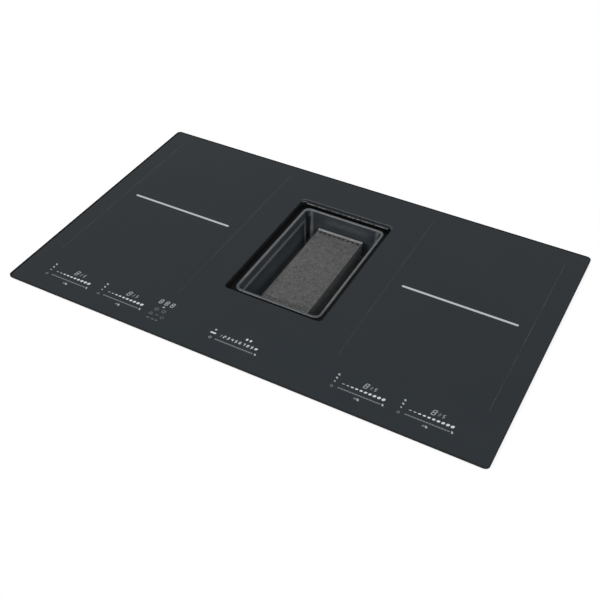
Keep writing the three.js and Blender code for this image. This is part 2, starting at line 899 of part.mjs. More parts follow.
// Capacitors and a choke at the rear, relays and a plug at the front, clear of the heat sink between.
function powerBoard() {
  const r = rect(0, 0, powerBoardWidth, powerBoardDepth, boardCorner);
  const root = boardTop - boardThickness / 2;
  const left = r.x0 + partInset;
  const front = r.y0 + partInset;
  const rear = r.y1 - partInset;
  const parts = [post(chokeX, rear - chokeRadius, root, boardTop + chokeHeight, chokeRadius)];
  for (let i = 0; i < capacitorCount; i++) {
    const x = left + capacitorRadius + i * (2 * capacitorRadius + partGap);
    parts.push(post(x, rear - capacitorRadius, root, boardTop + capacitorHeight, capacitorRadius, 8));
  }
  for (let i = 0; i < relayCount; i++) {
    const x = left + i * (relayWidth + partGap);
    parts.push(block(x, x + relayWidth, front, front + relayDepth, root, boardTop + relayHeight));
  }
  const right = r.x1 - partInset;
  parts.push(block(right - plugWidth, right, front, front + plugDepth, root, boardTop + plugHeight));
  return boardWith(r, onFloor, parts);
}

// An extruded heat sink: a base with upright fins.
function heatSink() {
  const z0 = boardTop + seat;
  const points = [
    [sinkWidth / 2, z0],
    [sinkWidth / 2, z0 + sinkHeight],
  ];
  const pitch = (sinkWidth - sinkFin) / (sinkFins - 1);
  for (let i = 0; i < sinkFins - 1; i++) {
    const right = sinkWidth / 2 - sinkFin - i * pitch;
    const left = sinkWidth / 2 - (i + 1) * pitch;
    points.push([right, z0 + sinkHeight], [right, z0 + sinkBase]);
    points.push([left, z0 + sinkBase], [left, z0 + sinkHeight]);
  }
  points.push([-sinkWidth / 2, z0 + sinkHeight], [-sinkWidth / 2, z0]);
  return bar(points, -sinkDepth / 2, sinkDepth / 2).rotateZ(-Math.PI / 2);
}

// A square fan frame with a round bore, and struts that hold the motor disc at the bottom.
function coolerFrame() {
  const r = rect(0, 0, coolerSize, coolerSize, coolerCorner);
  const z1 = onFloor + coolerHeight;
  const frame = cut(plate(r, onFloor, z1), post(0, 0, onFloor - 1, z1 + 1, coolerBore, 20));
  const struts = [];
  const half = coolerStrutWidth / 2;
  for (let i = 0; i < coolerStruts; i++) {
    const strut = block(coolerHub - half, coolerBore + 1, -half, half, onFloor, onFloor + coolerStrutHeight);
    struts.push(strut.rotateZ((Math.PI * (2 * i + 1)) / coolerStruts));
  }
  return join(frame, post(0, 0, onFloor, onFloor + coolerDisc, coolerHub, 16), ...struts);
}

function coolerRotor() {
  const z0 = onFloor + coolerDisc + seat;
  const z1 = onFloor + coolerHeight - running;
  const tip = coolerBore - coolerTipGap;
  const half = coolerBladeThickness / 2;
  const chord = coolerBladeChord / 2;
  const blades = [];
  for (let i = 0; i < coolerBlades; i++) {
    const blade = block(coolerHub - coolerBladeThickness, tip, -half, half, -chord, chord);
    blade.rotateX(THREE.MathUtils.degToRad(coolerBladePitch));
    blades.push(blade.translate(0, 0, (z0 + z1) / 2).rotateZ((2 * Math.PI * i) / coolerBlades));
  }
  return join(post(0, 0, z0, z1, coolerHub, 16), ...blades);
}

// The board with the touch keys and number displays, just under the front of the glass.
const touchBoardTop = underGlass - displayHeight;
const touchHolderTop = touchBoardTop - boardThickness - seat;

function touchBoard() {
  const width = touchWidth - 2 * touchBoardMargin;
  const r = rect(0, 0, width, touchDepth - 2 * touchBoardMargin, boardCorner);
  const sheet = plate(r, touchBoardTop - boardThickness, touchBoardTop, 1);
  const places = [-zoneX, zoneX].flatMap((zone) => sliderDisplays.map((x) => zone + x));
  const y = r.y1 - displayRear - displayDepth / 2;
  const displays = [...places, ...centreDisplays].map((x) => {
    const d = rect(x, y, displayWidth, displayDepth);
    return block(d.x0, d.x1, d.y0, d.y1, touchBoardTop - boardThickness / 2, underGlass);
  });
  return join(sheet, ...displays);
}

function touchHolder() {
  const r = rect(0, 0, touchWidth, touchDepth, touchHolderCorner);
  const inner = grow(r, -touchHolderWall);
  const floorZ = touchHolderTop;
  const top = floorZ + touchHolderHeight - touchHolderWall;
  const tray = loft([
    outline(r, floorZ - touchHolderWall),
    outline(r, top),
    outline(inner, top),
    outline(inner, floorZ),
  ]);
  const legs = [r.x0 + touchLegInset, -touchLegInner, touchLegInner, r.x1 - touchLegInset].map((x) =>
    post(x, 0, onFloor, floorZ - touchHolderWall / 2, touchLegRadius, 8),
  );
  return join(tray, ...legs);
}

// ---- Suction plenum and drip tank ----

const tankRimTop = plenumBottom - drainSpout - tankSpoutGap;
const tankRimBottom = tankRimTop - tankSheet;
const runnerTop = tankRimBottom - seat;

// The moulded air box under the tray: mounting flange, side port, drain spout and tank runners.
function suctionPlenum() {
  const flangeTop = underCasing;
  const flangeBottom = flangeTop - plenumFlangeThickness;
  const flange = grow(plenumRect, plenumFlange);
  const inner = grow(plenumRect, -plenumWall);
  const floorZ = plenumBottom + plenumWall;
  const box = loft([
    outline(plenumRect, plenumBottom),
    outline(plenumRect, flangeBottom),
    outline(flange, flangeBottom),
    outline(flange, flangeTop),
    outline(plenumRect, flangeTop),
    outline(plenumRect, plenumTop),
    outline(inner, plenumTop),
    outline(inner, floorZ),
  ]);
  const spout = post(0, cutoutCentreY, plenumBottom - drainSpout, floorZ - 1, drainRadius + 2, 16);
  const drain = post(0, cutoutCentreY, plenumBottom - drainSpout - 1, floorZ + 1, drainRadius, 16);
  const wallX = plenumRect.x1;
  const port = sidePort(wallX - 2 * plenumWall, wallX + plenumWall);
  return cut(join(box, spout, tankRunner(1), tankRunner(-1)), drain, port);
}

function sidePort(x0, x1) {
  return block(x0, x1, portY - portDepth / 2, portY + portDepth / 2, portBottom, portTop);
}

// An L-shaped runner along one side of the drip tank, closed at the rear by a stop.
function tankRunner(side) {
  const inner = tankWidth / 2 + tankRim + running;
  const y0 = plenumRect.y0 + runnerFrontGap;
  const y1 = y0 + runnerLength;
  const x = (a, b) => [side * a, side * b].sort((p, q) => p - q);
  const root = plenumBottom + plenumWall / 2;
  const web = block(...x(inner, inner + runnerSheet), y0, y1, runnerTop - runnerSheet, root);
  const foot = block(...x(inner - runnerFoot, inner + 1), y0, y1, runnerTop - runnerSheet, runnerTop);
  const stop = block(...x(inner - runnerFoot, inner + 1), y1 - runnerStop, y1, runnerTop - 1, root);
  return join(web, foot, stop);
}

// The open-topped tank hangs by its rim on the runners and has a grip in front.
function dripTank() {
  const rearY = plenumRect.y0 + runnerFrontGap + runnerLength - runnerStop - seat - tankRim;
  const outer = rect(0, rearY - tankLength / 2, tankWidth, tankLength, tankCorner);
  const low = grow(outer, -tankDraft);
  const rim = grow(outer, tankRim);
  const tub = loft([
    outline(low, unitBottom),
    outline(outer, tankRimBottom),
    outline(rim, tankRimBottom),
    outline(rim, tankRimTop),
    outline(grow(outer, -tankSheet), tankRimTop),
    outline(grow(low, -tankSheet), unitBottom + tankSheet),
  ]);
  const half = tankGripWidth / 2;
  const front = rim.y0 - tankGrip;
  const lip = block(-half, half, front, rim.y0 + 1, tankRimBottom, tankRimTop);
  const fold = block(-half, half, front, front + tankSheet, tankRimTop - tankGripHeight, tankRimTop);
  return join(tub, lip, fold);
}

// ---- Blower ----

const gasketX = plenumRect.x1 + seat;
const hoodLeft = gasketX + gasketThickness + seat;

function portGasket() {
  const outer = block(
    gasketX,
    gasketX + gasketThickness,
    portY - portDepth / 2 - gasketWidth,
    portY + portDepth / 2 + gasketWidth,
    portBottom - gasketWidth / 2,
    portTop + gasketWidth / 2,
  );
  return cut(outer, sidePort(gasketX - 1, gasketX + gasketThickness + 1));
}

const hoodRect = {
  x0: hoodLeft,
  x1: hoodRight,
  y0: blowerY - hoodDepth / 2,
  y1: blowerY + hoodDepth / 2,
  corner: hoodCorner,
};
const hoodFlangeRect = {
  x0: hoodRect.x0,
  x1: hoodRect.x1 + hoodFlange,
  y0: hoodRect.y0 - hoodFlange,
  y1: hoodRect.y1 + hoodFlange,
  corner: hoodCorner,
};

// The inverted pan that leads the air from the plenum's port down into the blower.
function inletHood() {
  const inner = grow(hoodRect, -hoodWall);
  const shell = loft([
    outline(inner, hoodTop - hoodWall),
    outline(inner, hoodBottom),
    outline(hoodFlangeRect, hoodBottom),
    outline(hoodFlangeRect, hoodBottom + hoodWall),
    outline(hoodRect, hoodBottom + hoodWall),
    outline(hoodRect, hoodTop),
  ]);
  const bosses = [];
  for (const x of [hoodRect.x0 + hoodBossPortInset, hoodRect.x1 - hoodBossInset]) {
    for (const y of [hoodRect.y0 + hoodBossInset, hoodRect.y1 - hoodBossInset]) {
      bosses.push(post(x, y, hoodTop - 1, underCasing, hoodBossRadius, 8));
    }
  }
  return cut(join(shell, ...bosses), sidePort(hoodLeft - 1, hoodLeft + 2 * hoodWall));
}

// The spiral of the scroll round the blower's axis, then straight sides to the outlet.
function scrollOutline(inset, overrun) {
  const steps = 30;
  const from = THREE.MathUtils.degToRad(scrollTongueAngle);
  const points = [];
  for (let i = 0; i <= steps; i++) {
    const a = from + ((2 * Math.PI - from) * i) / steps;
    const r = scrollTongue + ((scrollEnd - scrollTongue) * i) / steps - inset;
    points.push([r * Math.cos(a), r * Math.sin(a)]);
  }
  const outletX = scrollTongue * Math.cos(from) + inset;
  points.push([scrollEnd - inset, scrollOutletLength + overrun]);
  points.push([outletX, scrollOutletLength + overrun]);
  return points;
}

const bellFacets = 24;

// The upper scroll: a plate under the hood with a rounded inlet bell in it.
function scrollUpper() {
  const local = (r) => ({
    x0: r.x0 - blowerX,
    x1: r.x1 - blowerX,
    y0: r.y0 - blowerY,
    y1: r.y1 - blowerY,
    corner: r.corner,
  });
  const lid = prism(scrollOutline(0, 0), scrollUpperBottom, scrollTop);
  const bridge = plate(local(hoodFlangeRect), scrollUpperBottom, scrollTop);
  const hole = post(0, 0, scrollUpperBottom - 1, scrollTop + 1, bellRadius + 2 * bellWall, bellFacets);
  const root = bellRadius + 2.5 * bellWall;
  const mouth = bellRadius + bellFlare;
  const bellTop = scrollTop + bellDepth - bellWall;
  const bell = turned(
    [
      [bellRadius, scrollUpperBottom - bellLip],
      [bellRadius + bellWall, scrollUpperBottom - bellLip],
      [bellRadius + bellWall, scrollUpperBottom],
      [root, scrollUpperBottom],
      [root, scrollTop],
      [mouth + bellWall / 2, bellTop - bellWall / 2],
      [mouth, bellTop],
      [bellRadius + 1.5 * bellWall, scrollTop + bellDepth / 2],
      [bellRadius, scrollUpperBottom],
    ],
    bellFacets,
  );
  return join(cut(join(lid, bridge), hole), bell);
}

function scrollLower() {
  const outer = prism(scrollOutline(0, 0), unitBottom, scrollLowerTop);
  const inner = prism(scrollOutline(scrollWall, 5), scrollFloor, scrollLowerTop + 1);
  return cut(outer, inner);
}

// The impeller: a backplate domed over the motor, forward-curved blades and a shroud ring.
function impeller() {
  const plateTop = impellerBottom + impellerPlate;
  const bore = shaftRadius + seat;
  const rim = impellerRadius + 1;
  const back = turned(
    [
      [bore, domeZ + hubHeight],
      [bore, domeZ - impellerPlate],
      [domeTop - impellerPlate, domeZ - impellerPlate],
      [domeBase - impellerPlate, impellerBottom],
      [rim, impellerBottom],
      [rim, plateTop],
      [domeBase, plateTop],
      [domeTop, domeZ],
      [hubRadius, domeZ],
      [hubRadius, domeZ + hubHeight],
    ],
    bladeCount,
  );
  const shroud = turned(
    [
      [rim - impellerRing, impellerTop - impellerPlate],
      [rim, impellerTop - impellerPlate],
      [rim, impellerTop],
      [rim - impellerRing, impellerTop],
    ],
    bladeCount,
  );
  const blades = [];
  for (let i = 0; i < bladeCount; i++) {
    blades.push(impellerBlade(plateTop - 1, impellerTop - 1).rotateZ((2 * Math.PI * i) / bladeCount));
  }
  return join(back, shroud, ...blades);
}

// One blade: its mean line leans ever more into the direction of turning.
function impellerBlade(z0, z1) {
  const steps = 2;
  const front = [];
  const rear = [];
  for (let i = 0; i <= steps; i++) {
    const t = i / steps;
    const r = bladeInnerRadius + (impellerRadius - bladeInnerRadius) * t;
    const mean = THREE.MathUtils.degToRad(bladeSweep) * t * t;
    const half = bladeThickness / 2 / r;
    front.push([r * Math.cos(mean + half), r * Math.sin(mean + half)]);
    rear.unshift([r * Math.cos(mean - half), r * Math.sin(mean - half)]);
  }
  return prism([...rear.reverse(), ...front.reverse()], z0, z1);
}

const motorBottom = scrollFloor + seat;
const motorTop = domeZ - impellerPlate - motorTopGap;

// The motor body, with a seat for a bearing at each end of its bore.
function motorStator() {
  const bore = bearingRadius - 2;
  const seatRadius = bearingRadius + seat;
  const seatDepth = bearingWidth + seat;
  return turned(
    [
      [seatRadius, motorBottom],
      [motorRadius + motorFoot, motorBottom],
      [motorRadius + motorFoot, motorBottom + motorFootThickness],
      [motorRadius, motorBottom + motorFootThickness],
      [motorRadius, motorTop - motorChamfer],
      [motorRadius - motorChamfer, motorTop],
      [seatRadius, motorTop],
      [seatRadius, motorTop - seatDepth],
      [bore, motorTop - seatDepth],
      [bore, motorBottom + seatDepth],
      [seatRadius, motorBottom + seatDepth],
    ],
    16,
  );
}

function bearing(z) {
  return turned(
    [
      [shaftRadius + seat, z],
      [bearingRadius, z],
      [bearingRadius, z + bearingWidth],
      [shaftRadius + seat, z + bearingWidth],
    ],
    16,
  );
}

function impellerShaft() {
  return post(0, 0, motorBottom + 1, domeZ + hubHeight + 2, shaftRadius, 16);
}

// ---- Outlet duct ----

const outletRect = {
  x0: blowerX + scrollTongue * Math.cos(THREE.MathUtils.degToRad(scrollTongueAngle)) + scrollWall + seat,
  x1: blowerX + scrollEnd - scrollWall - seat,
  y0: -(scrollLowerTop - seat),
  y1: -(scrollFloor + seat),
  corner: 2,
};
const outletY = blowerY + scrollOutletLength;
const spigotInner = grow(ductRect, -ductWall);
const sleeveRect = grow(spigotInner, -seat);

// The widening duct, slipped into the scroll's outlet in front and into the spigot behind.
function outletDiffuser() {
  const start = outletY - sleeve;
  const end = spigotFront + sleeve - seat;
  return alongY(
    loft(
      [
        outline(outletRect, start),
        outline(outletRect, outletY + 1),
        outline(sleeveRect, spigotFront - 1),
        outline(sleeveRect, end),
        outline(grow(sleeveRect, -ductWall), end),
        outline(grow(sleeveRect, -ductWall), spigotFront - 1),
        outline(grow(outletRect, -ductWall), outletY + 1),
        outline(grow(outletRect, -ductWall), start),
      ],
      true,
    ),
  );
}

const flapY = spigotFront + sleeve + flapStop + running + flapSheet;
const flapMiddle = unitBottom + ductHeight / 2;
const flapUpperZ = unitBottom + ductHeight - ductWall - flapPin - running;
const flapLowerZ = flapMiddle - crossbar / 2 - flapPin - running;
const flapHeight = flapUpperZ - flapMiddle - crossbar / 2 - running;
const flapHalf = ductWidth / 2 - ductWall - running;

// The standard flat duct spigot, with the stops that the closed flaps lean on.
function outletSpigot() {
  const tube = loft(
    [
      outline(ductRect, spigotFront),
      outline(ductRect, spigotRear),
      outline(spigotInner, spigotRear),
      outline(spigotInner, spigotFront + sleeve + flapStop),
      outline(grow(spigotInner, -flapStop), spigotFront + sleeve + flapStop),
      outline(grow(spigotInner, -flapStop), spigotFront + sleeve),
      outline(spigotInner, spigotFront + sleeve),
      outline(spigotInner, spigotFront),
    ],
    true,
  );
  const stopY = spigotFront + sleeve;
  const across = block(
    spigotInner.x0 - 1,
    spigotInner.x1 + 1,
    stopY,
    stopY + flapStop,
    flapMiddle - crossbar / 2,
    flapMiddle + crossbar / 2,
  );
  const holeRadius = flapPin + running / 2;
  const pinHoles = [flapUpperZ, flapLowerZ].flatMap((z) =>
    [spigotInner.x0, spigotInner.x1].map((x) => alongX(holeRadius, x, 3 * ductWall, flapY, z)),
  );
  return cut(join(alongY(tube), across), ...pinHoles);
}

// A short round bar along X, centred on a point.
function alongX(radius, x, length, y, z) {
  const geometry = new THREE.CylinderGeometry(radius, radius, length, 12);
  return geometry.rotateZ(Math.PI / 2).translate(x, y, z);
}

// A non-return flap about its own hinge line: a rounded hinge bar with pins, and the plate below it.
function ductFlap() {
  const sheetRect = rect(0, flapHeight / 2, 2 * flapHalf, flapHeight, spigotInner.corner);
  const sheet = alongY(plate(sheetRect, -flapSheet / 2, flapSheet / 2));
  const hinge = alongX(flapPin, 0, 2 * (ductWidth / 2 - seat), 0, 0);
  const ribHalf = flapHalf - flapRibInset;
  const ribTop = (flapRibHeight - flapHeight) / 2;
  const rib = block(-ribHalf, ribHalf, 0, 1.5 * flapSheet, ribTop - flapRibHeight, ribTop);
  return join(sheet, hinge, rib);
}

// ---- Control box, terminal and clamps ----

// An open-topped box whose rim is screwed under the casing.
function hungBox(r, height, wall) {
  const bottom = underCasing - height;
  const rim = grow(r, boxRim);
  return loft([
    outline(r, bottom),
    outline(r, underCasing - wall),
    outline(rim, underCasing - wall),
    outline(rim, underCasing),
    outline(grow(r, -wall), underCasing),
    outline(grow(r, -wall), bottom + wall),
  ]);
}

const controlRect = rect(controlX, controlY, controlWidth, controlDepth, boxCorner);
const terminalRect = rect(terminalX, terminalY, terminalWidth, terminalDepth, boxCorner);

// The blower's circuit board: an inductor, two capacitors and a header along its right edge.
function controlBoard() {
  const floorZ = underCasing - controlHeight + controlWall + seat;
  const top = floorZ + boardLift + boardThickness;
  const root = top - boardThickness / 2;
  const r = { ...grow(controlRect, -controlBoardGap), corner: boardCorner };
  const left = r.x0 + partInset;
  const right = r.x1 - pillarInset - legRadius - partGap;
  const inductor = rect(left + inductorWidth / 2, controlY, inductorWidth, inductorDepth);
  const header = rect(right - headerWidth / 2, controlY, headerWidth, headerDepth);
  const canX = header.x0 - partGap - canRadius;
  return boardWith(r, floorZ, [
    block(inductor.x0, inductor.x1, inductor.y0, inductor.y1, root, top + inductorHeight),
    block(header.x0, header.x1, header.y0, header.y1, root, top + headerHeight),
    post(canX, controlY, root, top + canHeight, canRadius),
    post(canX - 2 * canRadius - partGap, controlY, root, top + canHeight, canRadius),
  ]);
}

const glandZ = underCasing - terminalHeight / 2;
const glandHole = glandRadius - glandWall;

function terminalBox() {
  const box = hungBox(terminalRect, terminalHeight, controlWall);
  const hole = new THREE.CylinderGeometry(glandHole, glandHole, 4 * controlWall, 16);
  return cut(box, hole.translate(terminalX, terminalRect.y1, glandZ));
}

// Screw terminals in a row on one base, standing on the box's floor.
function terminalBlock() {
  const floorZ = underCasing - terminalHeight + controlWall + seat;
  const half = (terminalCount * terminalPitch) / 2;
  const y0 = terminalY - terminalFront;
  const y1 = y0 + terminalCellDepth;
  const base = block(terminalX - half, terminalX + half, y0, y1, floorZ, floorZ + terminalBase);
  const cells = [];
  for (let i = 0; i < terminalCount; i++) {
    const x = terminalX - half + (i + 0.5) * terminalPitch;
    const cell = terminalCell / 2;
    cells.push(block(x - cell, x + cell, y0, y1, floorZ + 1, floorZ + terminalCellHeight));
  }
  return join(base, ...cells);
}

// The cable gland in the terminal box's rear wall: a threaded body, a hexagon and a domed nut.
function cableGland() {
  const wallOut = terminalRect.y1 + seat;
  const neck = glandHole - seat;
  const inside = -controlWall - seat - glandThread;
  const facets = 18;
  const body = turned(
    [
      [glandBore, inside],
      [neck, inside],
      [neck, 0],
      [glandRadius, 0],
      [glandRadius, 0.6 * glandLength],
      [glandBore + glandWall, glandLength],
      [glandBore, glandLength],
    ],
    facets,
  );
  const hexagon = post(0, 0, 0, glandHexagonLength, glandHexagon, 6);
  const bore = post(0, 0, -1, glandHexagonLength + 1, glandBore, facets);
  return alongY(join(body, cut(hexagon, bore))).translate(terminalX, wallOut, glandZ);
}

// A clamping bracket: a tab on the casing's side wall and a foot that reaches under the worktop.
function clampBracket(side, end) {
  const inner = clampX + seat;
  const profile = [
    [inner, clampTop],
    [inner + clampSheet, clampTop],
    [inner + clampSheet, clampFoot],
    [inner + clampReach, clampFoot],
    [inner + clampReach, clampFoot - clampSheet],
    [inner, clampFoot - clampSheet],
  ];
  const half = clampWidth / 2;
  const bracket = bar(profile, -half, half);
  const holeAt = inner + clampReach - clampHoleInset;
  const hole = post(0, holeAt, clampFoot - clampSheet - 1, clampFoot + 1, clampHole);
  return cut(bracket, hole)
    .rotateZ((-side * Math.PI) / 2)
    .translate(0, end * clampY, 0);
}

// ---- Assembly ----

const hob = new THREE.Group();

piece(hob, "glass_top", glassPlate(), blackGlass);
piece(hob, "glass_seal", foamSeal(), foam);
piece(hob, "recess_frame", recessFrame(), blackPlastic);
piece(hob, "filter_tray", filterTray(), glossTray);
piece(hob, "filter_mesh", meshBox(), filterMesh);
piece(hob, "filter_rail_rear", endRail(1), brightSteel);
piece(hob, "filter_rail_front", endRail(-1), brightSteel);
piece(hob, "filter_base_frame", baseFrame(), brightSteel);
piece(hob, "casing_pan", casingPan(), zincSteel);

const winding = coilWinding();
for (const [side, sign] of [
  ["left", -1],
  ["right", 1],
]) {
  const zone = group(hob, sign * zoneX, zoneY, 0);
  piece(zone, "mica_" + side, micaPlate(), micaSheet);
  piece(zone, "shield_" + side, shieldPlate(), aluminium);
  for (const [end, along] of [
    ["front", -1],
    ["rear", 1],
  ]) {
    const place = group(zone, 0, (along * coilPitchY) / 2, 0);
    piece(place, "coil_" + end + "_" + side, winding, copper);
    piece(place, "coil_carrier_" + end + "_" + side, coilCarrier(), ferrite);
    piece(place, "coil_sensor_" + end + "_" + side, coilSensor(), greyPlastic);
  }
  const power = group(hob, sign * zoneX, powerBoardY, 0);
  piece(power, "power_board_" + side, powerBoard(), boardGreen);
  piece(power, "heat_sink_" + side, heatSink(), aluminium);
  const cooler = group(hob, sign * coolerX, coolerY, 0);
  piece(cooler, "cooling_fan_frame_" + side, coolerFrame(), blackPlastic);
  piece(cooler, "cooling_fan_rotor_" + side, coolerRotor(), greyPlastic);
}

const controls = group(hob, 0, touchCentreY, 0);
piece(controls, "touch_board", touchBoard(), boardGreen);
piece(controls, "touch_holder", touchHolder(), greyPlastic);

piece(hob, "suction_plenum", suctionPlenum(), blackPlastic);
piece(hob, "drip_tank", dripTank(), greyPlastic);
piece(hob, "plenum_gasket", portGasket(), rubber);
piece(hob, "inlet_hood", inletHood(), blackPlastic);

const blower = group(hob, blowerX, blowerY, 0);
piece(blower, "scroll_upper", scrollUpper(), blackPlastic);
piece(blower, "scroll_lower", scrollLower(), blackPlastic);
piece(blower, "impeller", impeller(), greyPlastic);
piece(blower, "impeller_shaft", impellerShaft(), brightSteel);
piece(blower, "motor_stator", motorStator(), zincSteel);
piece(blower, "bearing_lower", bearing(motorBottom + seat), brightSteel);
piece(blower, "bearing_upper", bearing(motorTop - bearingWidth), brightSteel);

piece(hob, "outlet_diffuser", outletDiffuser(), blackPlastic);
piece(hob, "outlet_spigot", outletSpigot(), blackPlastic);
piece(group(hob, ductCentreX, flapY, flapUpperZ), "duct_flap_upper", ductFlap(), greyPlastic);
piece(group(hob, ductCentreX, flapY, flapLowerZ), "duct_flap_lower", ductFlap(), greyPlastic);

piece(hob, "control_box", hungBox(controlRect, controlHeight, controlWall), blackPlastic);
piece(hob, "control_board", controlBoard(), boardGreen);
piece(hob, "terminal_box", terminalBox(), blackPlastic);
piece(hob, "terminal_block", terminalBlock(), greyPlastic);
piece(hob, "cable_gland", cableGland(), rubber);

for (const [side, sign] of [
  ["left", -1],
  ["right", 1],
]) {
  piece(hob, "clamp_front_" + side, clampBracket(sign, -1), zincSteel);
  piece(hob, "clamp_rear_" + side, clampBracket(sign, 1), zincSteel);
}

export default hob;
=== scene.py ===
"""Looks of the downdraft induction hob: finishes, printed controls, woven filter and fasteners.

Everything is in metres in the model's own frame: X right, Y back, Z up, with the worktop's face at Z 0.
Only the artwork on the glass is drawn in millimetres.
"""

import json
import math

import bpy
from mathutils import Matrix, Vector
from mathutils.bvhtree import BVHTree


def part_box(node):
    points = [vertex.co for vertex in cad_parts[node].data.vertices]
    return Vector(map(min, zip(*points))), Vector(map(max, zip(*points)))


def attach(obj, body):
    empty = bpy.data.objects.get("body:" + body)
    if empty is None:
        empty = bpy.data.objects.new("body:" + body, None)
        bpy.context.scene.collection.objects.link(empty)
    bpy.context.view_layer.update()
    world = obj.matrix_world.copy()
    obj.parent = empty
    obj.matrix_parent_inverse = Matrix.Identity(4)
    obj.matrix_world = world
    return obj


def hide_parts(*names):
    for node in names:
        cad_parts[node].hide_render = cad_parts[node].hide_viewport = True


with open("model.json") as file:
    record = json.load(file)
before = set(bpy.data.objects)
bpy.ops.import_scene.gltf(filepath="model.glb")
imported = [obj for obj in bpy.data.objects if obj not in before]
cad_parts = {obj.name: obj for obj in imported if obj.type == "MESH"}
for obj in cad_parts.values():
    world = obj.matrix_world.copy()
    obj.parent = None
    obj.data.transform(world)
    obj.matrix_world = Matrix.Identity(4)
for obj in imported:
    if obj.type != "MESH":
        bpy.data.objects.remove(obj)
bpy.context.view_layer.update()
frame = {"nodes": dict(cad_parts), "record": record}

MM = 0.001

# ---- Places that follow from the frame ----

GLASS_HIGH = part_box("glass_top")[1]
FILTER_LOW, FILTER_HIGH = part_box("filter_mesh")
TRAY_LOW, TRAY_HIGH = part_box("filter_tray")
REAR_RAIL_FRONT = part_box("filter_rail_rear")[0].y
FRONT_RAIL_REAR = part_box("filter_rail_front")[1].y
CASING_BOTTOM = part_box("casing_pan")[0].z
PLENUM_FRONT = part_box("suction_plenum")[0].y
TANK_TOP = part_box("drip_tank")[1].z
SCROLL_LOW, SCROLL_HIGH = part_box("scroll_lower")
IMPELLER_LOW, IMPELLER_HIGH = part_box("impeller")
BLOWER = ((IMPELLER_LOW.x + IMPELLER_HIGH.x) / 2, (IMPELLER_LOW.y + IMPELLER_HIGH.y) / 2)
BOARD_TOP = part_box("heat_sink_left")[0].z

OPENING_REACH_X = TRAY_HIGH.x + 21 * MM  # nearer the middle than these, a glass edge is the opening's
OPENING_REACH_Y = TRAY_HIGH.y + 35 * MM
LIP_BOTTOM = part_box("recess_frame")[1].z - 1.6 * MM  # the strip under the opening's rear edge
LIP_FRONT = TRAY_HIGH.y + 3 * MM

# ---- Finishes ----

BAND = (0.35, 0.65)  # where most of a noise lies, so that a ramp over it reaches both of its ends
WIDE_BAND = (0.3, 0.7)  # for a softer ramp
MIX_COLOURS = (6, 7)  # a Mix node's two colours among its inputs, and the mixed one among its outputs
MIX_RESULT = 2


def add_node(tree, kind, inputs=None, **settings):
    """Adds a shader node. An input is a value or another node's output."""
    made = tree.nodes.new("ShaderNode" + kind)
    for name, value in settings.items():
        setattr(made, name, value)
    for socket, value in (inputs or {}).items():
        if isinstance(value, bpy.types.NodeSocket):
            tree.links.new(value, made.inputs[socket])
        else:
            made.inputs[socket].default_value = value
    return made


